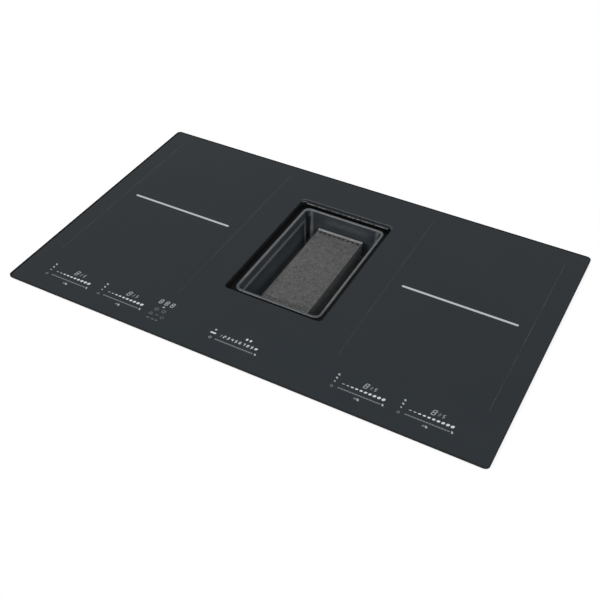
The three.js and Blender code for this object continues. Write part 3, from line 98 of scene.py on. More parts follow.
class Finish:
    """A Principled surface whose colour, roughness and relief are worked out by nodes.

    A mask is a value of 0 or 1, or between them where it fades.
    """

    def __init__(self, name, **sockets):
        self.material = bpy.data.materials.new(name)
        self.material.use_nodes = True
        self.tree = self.material.node_tree
        self.shader = self.tree.nodes["Principled BSDF"]
        self.place = self.node("TexCoord").outputs["Object"]
        self.normal = None
        for socket, value in sockets.items():
            self.shader.inputs[socket.replace("_", " ")].default_value = value

    def node(self, kind, inputs=None, **settings):
        return add_node(self.tree, kind, inputs, **settings)

    def stretched(self, stretch):
        return self.node("Mapping", {"Vector": self.place, "Scale": stretch}).outputs["Vector"]

    def noise(self, scale, detail=3.0, stretch=(1, 1, 1)):
        inputs = {"Vector": self.stretched(stretch), "Scale": scale, "Detail": detail}
        return self.node("TexNoise", inputs).outputs["Fac"]

    def cells(self, scale, output="Distance", stretch=(1, 1, 1), feature="F1"):
        inputs = {"Vector": self.stretched(stretch), "Scale": scale}
        return self.node("TexVoronoi", inputs, feature=feature).outputs[output]

    def cell_shade(self, scale):
        """A shade of its own for every cell."""
        return self.node("SeparateColor", {0: self.cells(scale, "Color")}).outputs[0]

    def span(self, value, low, high, first, last):
        """Runs from one number to another as a value runs from low to high."""
        inputs = {"Value": value, "From Min": low, "From Max": high, "To Min": first, "To Max": last}
        return self.node("MapRange", inputs).outputs["Result"]

    def mix(self, share, first, last):
        """Mixes two colours, each a plain one or another node's output."""
        mixed = self.node("Mix", {"Factor": share}, data_type="RGBA")
        for socket, value in zip(MIX_COLOURS, (first, last)):
            if isinstance(value, bpy.types.NodeSocket):
                self.tree.links.new(value, mixed.inputs[socket])
            else:
                mixed.inputs[socket].default_value = (*value, 1)
        return mixed.outputs[MIX_RESULT]

    def ramp(self, value, low, high, first, last):
        """Runs from one colour to another as a value runs from low to high."""
        return self.mix(self.span(value, low, high, 0.0, 1.0), first, last)

    def maths(self, operation, first, second=0.0):
        return self.node("Math", {0: first, 1: second}, operation=operation).outputs["Value"]

    def minus(self, first, second):
        return self.maths("SUBTRACT", first, second)

    def above(self, value, level):
        """A mask of where a value is over a level."""
        return self.maths("GREATER_THAN", value, level)

    def below(self, value, level):
        return self.maths("LESS_THAN", value, level)

    def both(self, mask, *others):
        """A mask of where all the masks meet."""
        for other in others:
            mask = self.maths("MULTIPLY", mask, other)
        return mask

    def streak(self, value, middle, full, gone):
        """A mask round a middle value: full on either side of it up to one distance, gone at another."""
        return self.span(self.maths("ABSOLUTE", self.minus(value, middle)), full, gone, 1.0, 0.0)

    def axis(self, name):
        return self.node("SeparateXYZ", {0: self.place}).outputs[name]

    def reach(self, name):
        """The distance from the model's middle plane."""
        return self.maths("ABSOLUTE", self.axis(name))

    def facing(self, name):
        normal = self.node("NewGeometry").outputs["Normal"]
        return self.node("SeparateXYZ", {0: normal}).outputs[name]

    def colour(self, socket):
        self.tree.links.new(socket, self.shader.inputs["Base Color"])

    def rough(self, value, low, high, first, last):
        self.tree.links.new(self.span(value, low, high, first, last), self.shader.inputs["Roughness"])

    def bump(self, height, strength, depth):
        inputs = {"Height": height, "Strength": strength, "Distance": depth}
        if self.normal:
            inputs["Normal"] = self.normal
        self.normal = self.node("Bump", inputs).outputs["Normal"]
        self.tree.links.new(self.normal, self.shader.inputs["Normal"])

    def soft_edges(self, radius):
        """Rounds the look of sharp edges; it comes before any bump."""
        self.normal = self.node("Bevel", {"Radius": radius}, samples=4).outputs["Normal"]
        self.tree.links.new(self.normal, self.shader.inputs["Normal"])


GROUND_SLOPE = (0.7, 0.05, 0.2)  # how far up the opening's rear bevel faces, and how far off that it fades: where its painted highlight lies
FLAT_GLASS = (0.80, 0.97)  # how far up a face of the glass has to face to be polished


def black_glass():
    """Ceramic glass, polished on top, with a ground edge round the plate and the opening, and a painted
    highlight on the bevel of the opening's rear edge.
    """
    f = Finish("black_glass", Specular_IOR_Level=0.05)
    f.soft_edges(0.4 * MM)
    top = f.ramp(f.noise(9.0, 2.0), *BAND, (0.0223, 0.0273, 0.0315), (0.0233, 0.0283, 0.0325))
    inside = f.both(f.below(f.reach("X"), OPENING_REACH_X), f.below(f.reach("Y"), OPENING_REACH_Y))
    ground = f.noise(700.0, 2.0)
    inner_edge = f.ramp(ground, *WIDE_BAND, (0.014, 0.016, 0.018), (0.05, 0.055, 0.06))
    outer_edge = f.ramp(ground, *WIDE_BAND, (0.013, 0.014, 0.015), (0.020, 0.021, 0.022))
    # painted highlight on the bevel along the opening's rear edge
    painted_bevel_highlight = f.ramp(ground, *WIDE_BAND, (0.05, 0.055, 0.06), (0.16, 0.165, 0.17))
    rear = f.both(inside, f.above(f.axis("Y"), TRAY_HIGH.y))
    bevel = f.both(rear, f.streak(f.facing("Z"), *GROUND_SLOPE))
    edge = f.mix(bevel, f.mix(inside, outer_edge, inner_edge), painted_bevel_highlight)
    flat = f.span(f.facing("Z"), *FLAT_GLASS, 0.0, 1.0)
    f.colour(f.mix(flat, edge, top))
    smear = f.span(f.noise(26.0, 4.0), *WIDE_BAND, 0.0, 0.05)
    f.rough(f.minus(flat, smear), 0.0, 1.0, 0.6, 0.08)
    return f.material


def print_ink(name, dark, light, specular=0.3, patches=(1800.0, 1.0), band=BAND):
    """Screen-printed enamel: a matt film, thinner in some places than in others."""
    f = Finish(name, Specular_IOR_Level=specular)
    f.colour(f.ramp(f.noise(*patches), *band, dark, light))
    f.rough(f.noise(600.0), *WIDE_BAND, 0.42, 0.6)
    return f.material


def foam():
    """The seal's open-celled foam."""
    f = Finish("foam", Specular_IOR_Level=0.15)
    pores = f.cells(900.0)
    f.colour(f.ramp(pores, 0.0, 0.7, (0.006, 0.006, 0.006), (0.028, 0.028, 0.028)))
    f.rough(pores, 0.0, 0.7, 0.98, 0.85)
    f.bump(pores, 0.6, 0.4 * MM)
    return f.material


def moulded_plastic(name, dark, light, roughness, specular=0.4, grain=0.12):
    """Injection-moulded plastic with a fine spark-eroded grain and faint flow marks."""
    f = Finish(name, Specular_IOR_Level=specular)
    f.soft_edges(0.5 * MM)
    f.colour(f.ramp(f.noise(14.0, 3.0, (1, 1, 2.5)), *BAND, dark, light))
    f.rough(f.noise(90.0, 3.0), *WIDE_BAND, roughness - 0.05, roughness + 0.07)
    f.bump(f.noise(1500.0, 2.0), grain, 0.15 * MM)
    return f.material


def recess_black():
    """The matt recess, nearly without shine, with painted shade on its up-facing ledge, and the strip
    under the opening's rear edge: paler on top, with a painted highlight on its front face.
    """
    f = Finish("recess_black", Specular_IOR_Level=0.12)
    side = f.ramp(f.noise(60.0), *BAND, (0.0080, 0.0083, 0.0086), (0.0110, 0.0113, 0.0116))
    # painted shade: the ledge, where it faces up, much darker than the recess's sides
    painted_shade_ledge = f.ramp(f.noise(60.0), *BAND, (0.0010, 0.0010, 0.0011), (0.0016, 0.0016, 0.0017))
    wall = f.mix(f.above(f.facing("Z"), 0.5), side, painted_shade_ledge)
    strip = f.ramp(f.noise(240.0), *BAND, (0.024, 0.028, 0.031), (0.036, 0.040, 0.043))
    # painted highlight on the front face of the strip under the opening's rear edge
    painted_edge_highlight = f.ramp(f.noise(150.0), 0.40, 0.60, (0.08, 0.085, 0.09), (0.30, 0.305, 0.31))
    lip = f.mix(f.below(f.facing("Y"), -0.5), strip, painted_edge_highlight)
    on_lip = f.both(f.above(f.axis("Z"), LIP_BOTTOM), f.above(f.axis("Y"), LIP_FRONT))
    f.colour(f.mix(on_lip, wall, lip))
    f.rough(f.noise(300.0), *WIDE_BAND, 0.5, 0.7)
    f.bump(f.noise(1500.0, 2.0), 0.1, 0.1 * MM)
    return f.material


# The middle of a rear corner's rounding, in from the tray's box at its rim and at its floor
CORNER_INSET_X = (14 * MM, 18 * MM)
CORNER_INSET_Y = (14 * MM, 16 * MM)
HIGHLIGHT_FROM = -5 * MM  # how far past that middle the painted streaks start: across for both, back for the painted shade
SHADE_FROM = -4 * MM
FACING_FRONT = -0.05  # a wall whose normal's Y is below this faces the front
# The painted highlight and painted shade streaks by their turn round that middle, in radians: where each
# is, half its width, and where it ends
PAINTED_HIGHLIGHT_STREAK = (1.55, 0.18, 0.45)
PAINTED_SHADE_STREAK = (0.3, 0.4, 0.7)
# The pad on each side of the tub: its faces, its top, its rear end, the painted shade there and the
# painted highlight line
PAD_FACES = (TRAY_HIGH.x - 13 * MM, TRAY_HIGH.x - 9.4 * MM)
PAD_TOP = TRAY_HIGH.z - 13 * MM
PAD_REAR = TRAY_HIGH.y - 19 * MM
PAD_PAINTED_SHADE = (PAD_REAR - 28 * MM, PAD_REAR - 5 * MM, 0.0, 0.9)
PAD_PAINTED_HIGHLIGHT = (PAD_REAR - 4.7 * MM, 1.4 * MM, 2.4 * MM)
# Where the tub's walls turn paler going down, as painted light that lifts the shade deep in the tub;
# where its rim starts; and where the rim's painted highlight fades out towards the front
TUB_DEPTHS = (TRAY_HIGH.z - 18 * MM, TRAY_LOW.z)
RIM_LEVELS = (TRAY_HIGH.z - 2.2 * MM, TRAY_HIGH.z - 1.2 * MM)
RIM_HIGHLIGHT_FADE = (TRAY_LOW.y + 8 * MM, TRAY_LOW.y + 40 * MM)


def tapered(f, outer, insets):
    """A wall's place, which draws in from the tray's rim to its floor."""
    rim, floor = insets
    return f.span(f.axis("Z"), TRAY_HIGH.z, TRAY_LOW.z, outer - rim, outer - floor)


def painted_corner_light_and_shade(f, wall, depth):
    """The tub's inner rear corners and the rear ends of its pads: a painted highlight streak beside a
    painted shade streak, and painted shade with a painted highlight line on the pads' ends.
    """
    # painted highlight, paler low down
    painted_highlight_high = f.ramp(f.noise(40.0), *WIDE_BAND, (0.090, 0.099, 0.105), (0.108, 0.117, 0.123))
    painted_highlight_low = f.ramp(f.noise(40.0), *WIDE_BAND, (0.30, 0.32, 0.33), (0.36, 0.38, 0.39))
    painted_highlight = f.mix(depth, painted_highlight_high, painted_highlight_low)
    # painted shade, for the streak beside the highlight and for the pads' rear ends
    dark = f.ramp(f.noise(40.0), *WIDE_BAND, (0.007, 0.009, 0.011), (0.011, 0.013, 0.015))

    across = f.reach("X")
    past_x = f.minus(across, tapered(f, TRAY_HIGH.x, CORNER_INSET_X))
    past_y = f.minus(f.axis("Y"), tapered(f, TRAY_HIGH.y, CORNER_INSET_Y))
    turn = f.maths("ARCTAN2", past_y, past_x)
    inner = f.both(f.below(f.facing("Y"), FACING_FRONT), f.above(past_x, HIGHLIGHT_FROM))
    rear = f.both(inner, f.above(past_y, SHADE_FROM))
    wall = f.mix(f.both(rear, f.streak(turn, *PAINTED_SHADE_STREAK)), wall, dark)
    wall = f.mix(f.both(inner, f.streak(turn, *PAINTED_HIGHLIGHT_STREAK)), wall, painted_highlight)

    inner_face, outer_face = PAD_FACES
    pad = f.both(f.below(across, outer_face), f.above(across, inner_face), f.below(f.axis("Z"), PAD_TOP))
    # painted shade towards each pad's rear end, then a painted highlight line across it
    wall = f.mix(f.both(pad, f.span(f.axis("Y"), *PAD_PAINTED_SHADE)), wall, dark)
    return f.mix(f.both(pad, f.streak(f.axis("Y"), *PAD_PAINTED_HIGHLIGHT)), wall, painted_highlight)


def tray_moulding():
    """Satin black moulding, painted paler low down as light that lifts the shade deep in the tub. Its
    rolled rim has a painted highlight, but not in front.
    """
    f = Finish("tray_black", Specular_IOR_Level=0.5)
    f.soft_edges(0.7 * MM)
    high = f.ramp(f.noise(18.0, 2.0), *BAND, (0.025, 0.031, 0.037), (0.033, 0.039, 0.045))
    # painted light: a paler colour where the tub is deep and shaded
    low = f.ramp(f.noise(18.0, 2.0), *BAND, (0.070, 0.080, 0.089), (0.087, 0.097, 0.106))
    depth = f.span(f.axis("Z"), *TUB_DEPTHS, 0.0, 1.0)
    wall = painted_corner_light_and_shade(f, f.mix(depth, high, low), depth)
    # painted highlight on the rolled rim, fading out towards the front
    painted_edge_highlight = f.ramp(f.noise(160.0), *WIDE_BAND, (0.066, 0.073, 0.078), (0.102, 0.110, 0.116))
    front = f.span(f.axis("Y"), *RIM_HIGHLIGHT_FADE, 0.9, 0.0)
    on_rim = f.span(f.axis("Z"), *RIM_LEVELS, 0.0, 1.0)
    f.colour(f.mix(on_rim, wall, f.mix(front, painted_edge_highlight, wall)))
    f.rough(f.noise(40.0, 4.0), *WIDE_BAND, 0.36, 0.46)
    return f.material


def brushed_metal(name, dark, light, roughness, stretch):
    """Brushed sheet: long fine scratches along one direction."""
    f = Finish(name, Metallic=1.0)
    f.soft_edges(0.3 * MM)
    brush = f.noise(40.0, 4.0, stretch)
    f.colour(f.ramp(brush, *WIDE_BAND, dark, light))
    f.rough(brush, *WIDE_BAND, roughness - 0.06, roughness + 0.1)
    f.bump(brush, 0.15, 0.1 * MM)
    return f.material


def filter_wire():
    """Wire of the filter's mesh: dulled steel, mottled from wire to wire."""
    f = Finish("filter_steel", Metallic=0.75, Specular_IOR_Level=0.5)
    patch = f.span(f.noise(120.0, 2.0), *WIDE_BAND, -0.06, 0.06)
    mottle = f.maths("ADD", f.noise(480.0, 3.0), patch)
    f.colour(f.ramp(mottle, *WIDE_BAND, (0.075, 0.075, 0.075), (0.24, 0.24, 0.238)))
    f.rough(f.noise(900.0), *WIDE_BAND, 0.35, 0.6)
    return f.material


SHEET_DEPTHS = (FILTER_HIGH.z - 2 * MM, FILTER_HIGH.z - 24 * MM)  # the sides turn paler going down: painted light that lifts their shade
ROLL_BOTTOM = FILTER_HIGH.z - 1.7 * MM


def filter_sheet():
    """The filter's plain sides: dull, slightly brushed sheet, painted paler low down as light that lifts
    their shade, and darker at its rolled top edge.
    """
    f = Finish("filter_side", Metallic=0.2, Specular_IOR_Level=0.4)
    brush = f.noise(60.0, 3.0, (0.5, 0.5, 12))
    upper = f.ramp(brush, *WIDE_BAND, (0.150, 0.151, 0.152), (0.190, 0.190, 0.189))
    # painted light: a paler colour low on the sides, where they are shaded
    lower = f.ramp(brush, *WIDE_BAND, (0.350, 0.352, 0.354), (0.420, 0.420, 0.418))
    roll = f.ramp(brush, *WIDE_BAND, (0.10, 0.10, 0.10), (0.13, 0.13, 0.129))
    depth = f.span(f.axis("Z"), *SHEET_DEPTHS, 0.0, 1.0)
    on_roll = f.above(f.axis("Z"), ROLL_BOTTOM)
    f.colour(f.mix(on_roll, f.mix(depth, upper, lower), roll))
    f.rough(brush, *WIDE_BAND, 0.4, 0.55)
    f.bump(brush, 0.15, 0.1 * MM)
    return f.material


def expanded_metal():
    """The darker liner seen through the mesh."""
    f = Finish("filter_liner", Metallic=0.5)
    diamonds = f.cells(330.0, stretch=(1, 0.55, 1))
    f.colour(f.ramp(diamonds, 0.05, 0.4, (0.012, 0.012, 0.012), (0.07, 0.069, 0.066)))
    f.rough(diamonds, 0.0, 0.5, 0.7, 0.45)
    f.bump(diamonds, 0.8, 0.6 * MM)
    return f.material


def galvanised():
    """Hot-dip zinc with its spangle and cloudy patches."""
    f = Finish("zinc_steel", Metallic=0.9)
    f.soft_edges(0.4 * MM)
    spangle = f.cell_shade(150.0)
    cloud = f.maths("ADD", f.maths("MULTIPLY", spangle, 0.5), f.noise(30.0, 4.0))
    f.colour(f.ramp(cloud, 0.3, 1.2, (0.27, 0.285, 0.295), (0.48, 0.495, 0.505)))
    f.rough(spangle, 0.0, 1.0, 0.36, 0.5)
    f.bump(f.noise(900.0, 3.0), 0.06, 0.1 * MM)
    return f.material


def mica_sheet():
    """Pressed mica: flat flakes, each a shade of its own."""
    f = Finish("mica", Specular_IOR_Level=0.45)
    flakes = f.cell_shade(160.0)
    f.colour(f.ramp(flakes, 0.0, 1.0, (0.40, 0.33, 0.21), (0.56, 0.48, 0.34)))
    f.rough(flakes, 0.0, 1.0, 0.35, 0.7)
    return f.material


def litz_wire():
    """Enamelled strands twisted into a flat bar."""
    f = Finish("copper", Metallic=0.85)
    strand = f.noise(260.0, 2.0, (1, 1, 3))
    f.colour(f.ramp(strand, *BAND, (0.30, 0.085, 0.025), (0.58, 0.22, 0.085)))
    f.rough(strand, *BAND, 0.3, 0.5)
    f.bump(f.cells(700.0), 0.5, 0.3 * MM)
    return f.material


def circuit_board():
    """Solder mask with traces; whatever stands above the board is dark moulded parts."""
    f = Finish("board_green", Specular_IOR_Level=0.45)
    traces = f.cells(120.0, "Distance", (1, 1, 0.01), "DISTANCE_TO_EDGE")
    mask = f.ramp(traces, 0.02, 0.06, (0.03, 0.20, 0.08), (0.008, 0.075, 0.03))
    height = f.maths("FRACT", f.maths("MULTIPLY", f.axis("Z"), 40.0))
    part = f.ramp(height, 0.2, 0.8, (0.012, 0.012, 0.014), (0.03, 0.032, 0.036))
    f.colour(f.mix(f.above(f.axis("Z"), BOARD_TOP + 0.5 * MM), mask, part))
    f.rough(traces, 0.0, 0.2, 0.3, 0.5)
    return f.material


PLASTICS = {  # darker and lighter colour, roughness, and where they differ specular level and grain
    "black_plastic": ((0.0085, 0.009, 0.0095), (0.014, 0.0145, 0.015), 0.5),
    "grey_plastic": ((0.095, 0.102, 0.106), (0.135, 0.143, 0.148), 0.45),
    "ferrite": ((0.018, 0.018, 0.02), (0.04, 0.04, 0.042), 0.75, 0.3, 0.4),
    "rubber": ((0.010, 0.010, 0.010), (0.02, 0.02, 0.02), 0.85, 0.2, 0.3),
}
METALS = {  # darker and lighter colour, roughness, and the stretch of the brushing
    "bright_steel": ((0.48, 0.49, 0.50), (0.68, 0.69, 0.69), 0.42, (0.3, 14, 14)),
    "aluminium": ((0.52, 0.54, 0.55), (0.66, 0.68, 0.69), 0.38, (12, 0.3, 12)),
}
INKS = {  # darker and lighter colour, and where they differ specular level, patches and their band
    "print_white": ((0.50, 0.52, 0.53), (0.60, 0.62, 0.63)),
    "print_bar": ((0.40, 0.42, 0.43), (0.48, 0.50, 0.51)),
    "print_light": ((0.26, 0.28, 0.29), (0.34, 0.36, 0.37)),
    "print_grey": ((0.12, 0.13, 0.135), (0.16, 0.17, 0.175)),
    "print_faint": ((0.065, 0.072, 0.078), (0.09, 0.097, 0.103)),
    "print_dots": ((0.032, 0.037, 0.042), (0.082, 0.090, 0.096), 0.3, (32.0, 2.0), (0.42, 0.60)),
    "print_dark": ((0.006, 0.007, 0.008), (0.010, 0.011, 0.012), 0.0),
}


def make_finishes():
    made = {
        "black_glass": black_glass(),
        "foam": foam(),
        "recess_black": recess_black(),
        "tray_black": tray_moulding(),
        "zinc_steel": galvanised(),
        "mica": mica_sheet(),
        "copper": litz_wire(),
        "board_green": circuit_board(),
        "filter_steel": filter_wire(),
        "filter_side": filter_sheet(),
        "filter_liner": expanded_metal(),
    }
    for make, looks in ((moulded_plastic, PLASTICS), (brushed_metal, METALS), (print_ink, INKS)):
        made.update({name: make(name, *look) for name, look in looks.items()})
    return made


def dress_nodes(finishes):
    """Gives every CAD node the finish of its slot. The recess gets its own, darker one."""
    slots = {p["node"]: p["material_slot"] for p in frame["record"]["subparts"]}
    slots["recess_frame"] = "recess_black"
    for name, obj in frame["nodes"].items():
        obj.data.materials.clear()
        obj.data.materials.append(finishes[slots[name]])


# ---- Mesh helpers ----


class Shell:
    """The mesh of one piece, built up from skins."""

    def __init__(self):
        self.points = []
        self.faces = []

    def skin(self, rings, closed=True):
        """Adds a skin over a stack of rings that have the same number of points."""
        start, count = len(self.points), len(rings[0])
        for ring in rings:
            self.points.extend(ring)
        last = start + (len(rings) - 1) * count
        for a in range(start, last, count):
            b = a + count
            for j in range(count):
                k = (j + 1) % count
                self.faces.append((a + j, a + k, b + k, b + j))
        if closed:
            self.faces.append(tuple(start + j for j in reversed(range(count))))
            self.faces.append(tuple(last + j for j in range(count)))

    def make(self, name, finish, body, slot=None, smooth=False):
        mesh = bpy.data.meshes.new(name)
        mesh.from_pydata([tuple(p) for p in self.points], [], self.faces)
        mesh.polygons.foreach_set("use_smooth", [smooth] * len(mesh.polygons))
        mesh.materials.append(finish)
        mesh.update()
        obj = bpy.data.objects.new(name, mesh)
        bpy.context.scene.collection.objects.link(obj)
        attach(obj, body)
        return obj


def rectangle(x0, x1, y0, y1):
    """The corners of a rectangle, going round."""
    return [(x0, y0), (x1, y0), (x1, y1), (x0, y1)]


def round_trip(count):
    """Evenly spaced angles, once round."""
    return [2 * math.pi * i / count for i in range(count)]


def circle(x, y, z, radius, count):
    """A level circle as a ring of points."""
    return [Vector((x + radius * math.cos(a), y + radius * math.sin(a), z)) for a in round_trip(count)]


def rounded(x0, x1, y0, y1, corner, z=0.0, steps=4):
    """A rounded rectangle as a ring of points."""
    ring = []
    for quarter, (x, y) in enumerate(((x1, y0), (x1, y1), (x0, y1), (x0, y0))):
        cx = x - math.copysign(corner, x - (x0 + x1) / 2)
        cy = y - math.copysign(corner, y - (y0 + y1) / 2)
        for i in range(steps + 1):
            a = (quarter - 1 + i / steps) * math.pi / 2
            ring.append(Vector((cx + corner * math.cos(a), cy + corner * math.sin(a), z)))
    return ring


# ---- Printed marks on the glass, in millimetres ----

INK_LEVELS = (0.004, 0.03)  # the printed film's lower and upper face, over the glass


class Artwork(Shell):
    """Flat shapes in millimetres on the glass, kept as one thin mesh that rides on the hob."""

    def shape(self, outline):
        levels = [GLASS_HIGH.z + level * MM for level in INK_LEVELS]
        self.skin([[Vector((x * MM, y * MM, z)) for x, y in outline] for z in levels])

    def bar(self, x, y, width, height, lean=0.0, corner=0.25):
        """A rounded bar about its middle. Its top leans to the right by lean per unit of height."""
        radius = corner * min(width, height)
        outline = rounded(-width / 2, width / 2, -height / 2, height / 2, radius, steps=3)
        self.shape([(x + p.x + lean * p.y, y + p.y) for p in outline])

    def disc(self, x, y, radius, sides=16):
        self.shape([(p.x, p.y) for p in circle(x, y, 0.0, radius, sides)])

    def ring(self, x, y, radius, line, sides=20):
        """A circle drawn as a line, in short straight pieces."""
        inner = circle(x, y, 0.0, radius - line / 2, sides)
        outer = circle(x, y, 0.0, radius + line / 2, sides)
        self.line_between(inner, outer)

    def line_between(self, inner, outer):
        """Fills the strip between two rings with the same number of points."""
        for i in range(len(inner)):
            corners = inner[i - 1], outer[i - 1], outer[i], inner[i]
            self.shape([(p.x, p.y) for p in corners])

    def digit(self, x, y, width, height, value, line, lean=0.12):
        """A seven-segment numeral about its middle."""
        w, h = width / 2 - line / 2, height / 2 - line / 2
        places = {
            "top": (0, h, 2 * w, line),
            "middle": (0, 0, 2 * w, line),
            "bottom": (0, -h, 2 * w, line),
            "upper left": (-w, h / 2, line, h),
            "upper right": (w, h / 2, line, h),
            "lower left": (-w, -h / 2, line, h),
            "lower right": (w, -h / 2, line, h),
        }
        for name in SEGMENTS[value]:
            dx, dy, sx, sy = places[name]
            self.bar(x + dx + lean * dy, y + dy, sx, sy, lean, 0.3)

    def put(self, name, ink):
        self.make(name, ink, "hob")


LEFT = ("upper left", "lower left")
RIGHT = ("upper right", "lower right")
SEGMENTS = {
    0: ("top", "bottom", *LEFT, *RIGHT),
    1: RIGHT,
    2: ("top", "middle", "bottom", "upper right", "lower left"),
    3: ("top", "middle", "bottom", *RIGHT),
    4: ("middle", "upper left", *RIGHT),
    5: ("top", "middle", "bottom", "upper left", "lower right"),
    6: ("top", "middle", "bottom", *LEFT, "lower right"),
    7: ("top", *RIGHT),
    8: ("top", "middle", "bottom", *LEFT, *RIGHT),
    9: ("top", "middle", "bottom", "upper left", *RIGHT),
}

# A mark has its middle's X and Y first, and then its width and height or its radius.

EDGE_INSET = 0.5  # from the plate's outer edge to the dark line, past its bevel
EDGE_WIDTHS = (3.6, 0.2, 0.2, 3.0)  # left, right, front and rear
EDGE_CORNER = 7.0  # the radius of the line's corners

ZONE_LINE = (164.5, 361.0, 34.0, 4.4)  # inner end, outer end, Y and thickness
ZONE_EDGES = (-380.5, -144.0, 144.0, 380.5)
ZONE_EDGE_ENDS = (-157.0, 224.0)
ZONE_EDGE_PITCH = 4.0
ZONE_EDGE_DOT = 0.75

LEAN = 0.3
DISPLAY_LEAN = 0.22
TRACK_FILL = 0.85  # a hatch's share of its pitch
LEVEL_COUNT = 10

SLIDER_COLUMNS = (-361.0, -256.0, 164.0, 269.0)  # the places below are X to the right of a column, and Y
SLIDER_KEYS = ((-196.7, 3.9), (-204.4, 3.7), (-212.0, 2.7))  # Y and height of each
KEY_SHAPE = 0.85  # width over height
SLIDER_LEVELS = (13.8, 7.06, -211.3)  # the first one's X, pitch, Y
LEVEL_WIDTHS = (4.2, 0.8)  # of the first mark, and what the last one has more
LEVEL_HEIGHTS = (1.5, 3.8)
SLIDER_TRACK = (9.0, 77.0, -221.5)
TRACK_END = 80.2

TIMER_KEYS = (  # a minus with a roof, a plus, and a dash between them
    (-154.8, -221.5, 7.2, 2.4),
    (-154.8, -218.0, 4.4, 1.8),
    (-133.6, -221.5, 7.2, 2.4),
    (-133.6, -221.5, 2.4, 7.2),
    (-144.0, -219.5, 5.0, 2.2),
)
TIMER_DIGITS = (-155.3, -144.5, -134.0)
TIMER_RINGS = (-152.0, -138.4)
TIMER_FEET = (-153.5, -145.0, -138.0)

FAN_NUMERALS = (-31.7, 6.9, -210.8)  # the first one's X, pitch, Y
FAN_TRACK = (-36.0, 31.0, -221.8)
FAN_TRACK_END = 35.0
FAN_PAUSE = (8.6, 15.2)


def edge_artwork(finishes):
    """The thin black line that runs round the plate just inside its ground edge."""
    line = Artwork()
    half_x, half_y = GLASS_HIGH.x / MM - EDGE_INSET, GLASS_HIGH.y / MM - EDGE_INSET
    left, right, front, rear = EDGE_WIDTHS
    inner = rounded(left - half_x, half_x - right, front - half_y, half_y - rear, EDGE_CORNER)
    line.line_between(inner, rounded(-half_x, half_x, -half_y, half_y, EDGE_CORNER))
    line.put("glass_edge_line", finishes["print_dark"])


def zone_artwork(finishes):
    """A bright line on each side, and the faint dotted edges of the zones."""
    lines, dots = Artwork(), Artwork()
    inner, outer, y, thickness = ZONE_LINE
    for side in (-1, 1):
        lines.bar(side * (inner + outer) / 2, y, outer - inner, thickness, corner=0.5)
    first, last = ZONE_EDGE_ENDS
    for x in ZONE_EDGES:
        for i in range(round((last - first) / ZONE_EDGE_PITCH) + 1):
            dots.disc(x, first + i * ZONE_EDGE_PITCH, ZONE_EDGE_DOT, 8)
    lines.put("zone_lines", finishes["print_bar"])
    dots.put("zone_edge_dots", finishes["print_dots"])


def track(art, x0, x1, y, height, pitch=4.6):
    """The touch strip: a row of leaning hatches."""
    count = round((x1 - x0) / pitch)
    for i in range(count):
        art.bar(x0 + (i + 0.5) * (x1 - x0) / count, y, TRACK_FILL * pitch, height, LEAN)


def slider_artwork(finishes):
    """One group per cooking zone: keys at its left, level marks, a touch strip and a display."""
    white, light, grey = Artwork(), Artwork(), Artwork()
    level_x, level_pitch, level_y = SLIDER_LEVELS
    track_x0, track_x1, track_y = SLIDER_TRACK
    for x in SLIDER_COLUMNS:
        for y, size in SLIDER_KEYS:
            light.bar(x, y, size * KEY_SHAPE, size, -LEAN)
        grey.ring(x, -222.7, 1.8, 1.0)
        light.digit(x + 45.0, -198.8, 6.2, 11.0, 8, 1.35, DISPLAY_LEAN)
        grey.digit(x + 53.4, -199.2, 3.0, 6.4, 0, 1.0, DISPLAY_LEAN)
        light.digit(x + 59.8, -199.2, 3.4, 7.0, 5, 1.0, DISPLAY_LEAN)
        for i in range(LEVEL_COUNT):
            share = i / (LEVEL_COUNT - 1)
            width, height = (first + more * share for first, more in (LEVEL_WIDTHS, LEVEL_HEIGHTS))
            art = white if i > 1 else light
            art.bar(x + level_x + level_pitch * i, level_y, width, height, LEAN, 0.45)
        track(grey, x + track_x0, x + track_x1, track_y, 2.2)
        light.bar(x + TRACK_END, track_y, 3.0, 4.4, -LEAN)
        grey.bar(x + 40.6, -229.4, 4.0, 3.0, LEAN)
        light.bar(x + 45.0, -229.6, 3.4, 4.4, -LEAN)
    white.put("slider_levels", finishes["print_white"])
    light.put("slider_keys", finishes["print_light"])
    grey.put("slider_tracks", finishes["print_grey"])


def timer_artwork(finishes):
    """The timer's display over its small keys."""
    light, faint = Artwork(), Artwork()
    for x in TIMER_DIGITS:
        light.digit(x, -189.3, 5.8, 10.6, 8, 1.6)
    light.bar(-144.4, -199.6, 4.2, 2.6, LEAN)
    for x in TIMER_RINGS:
        faint.ring(x, -208.3, 2.8, 1.8)
    for mark in TIMER_KEYS:
        faint.bar(*mark)
    for x in TIMER_FEET:
        faint.bar(x, -230.8, 5.0, 2.6, LEAN)
    light.put("timer_digits", finishes["print_light"])
    faint.put("timer_symbols", finishes["print_faint"])


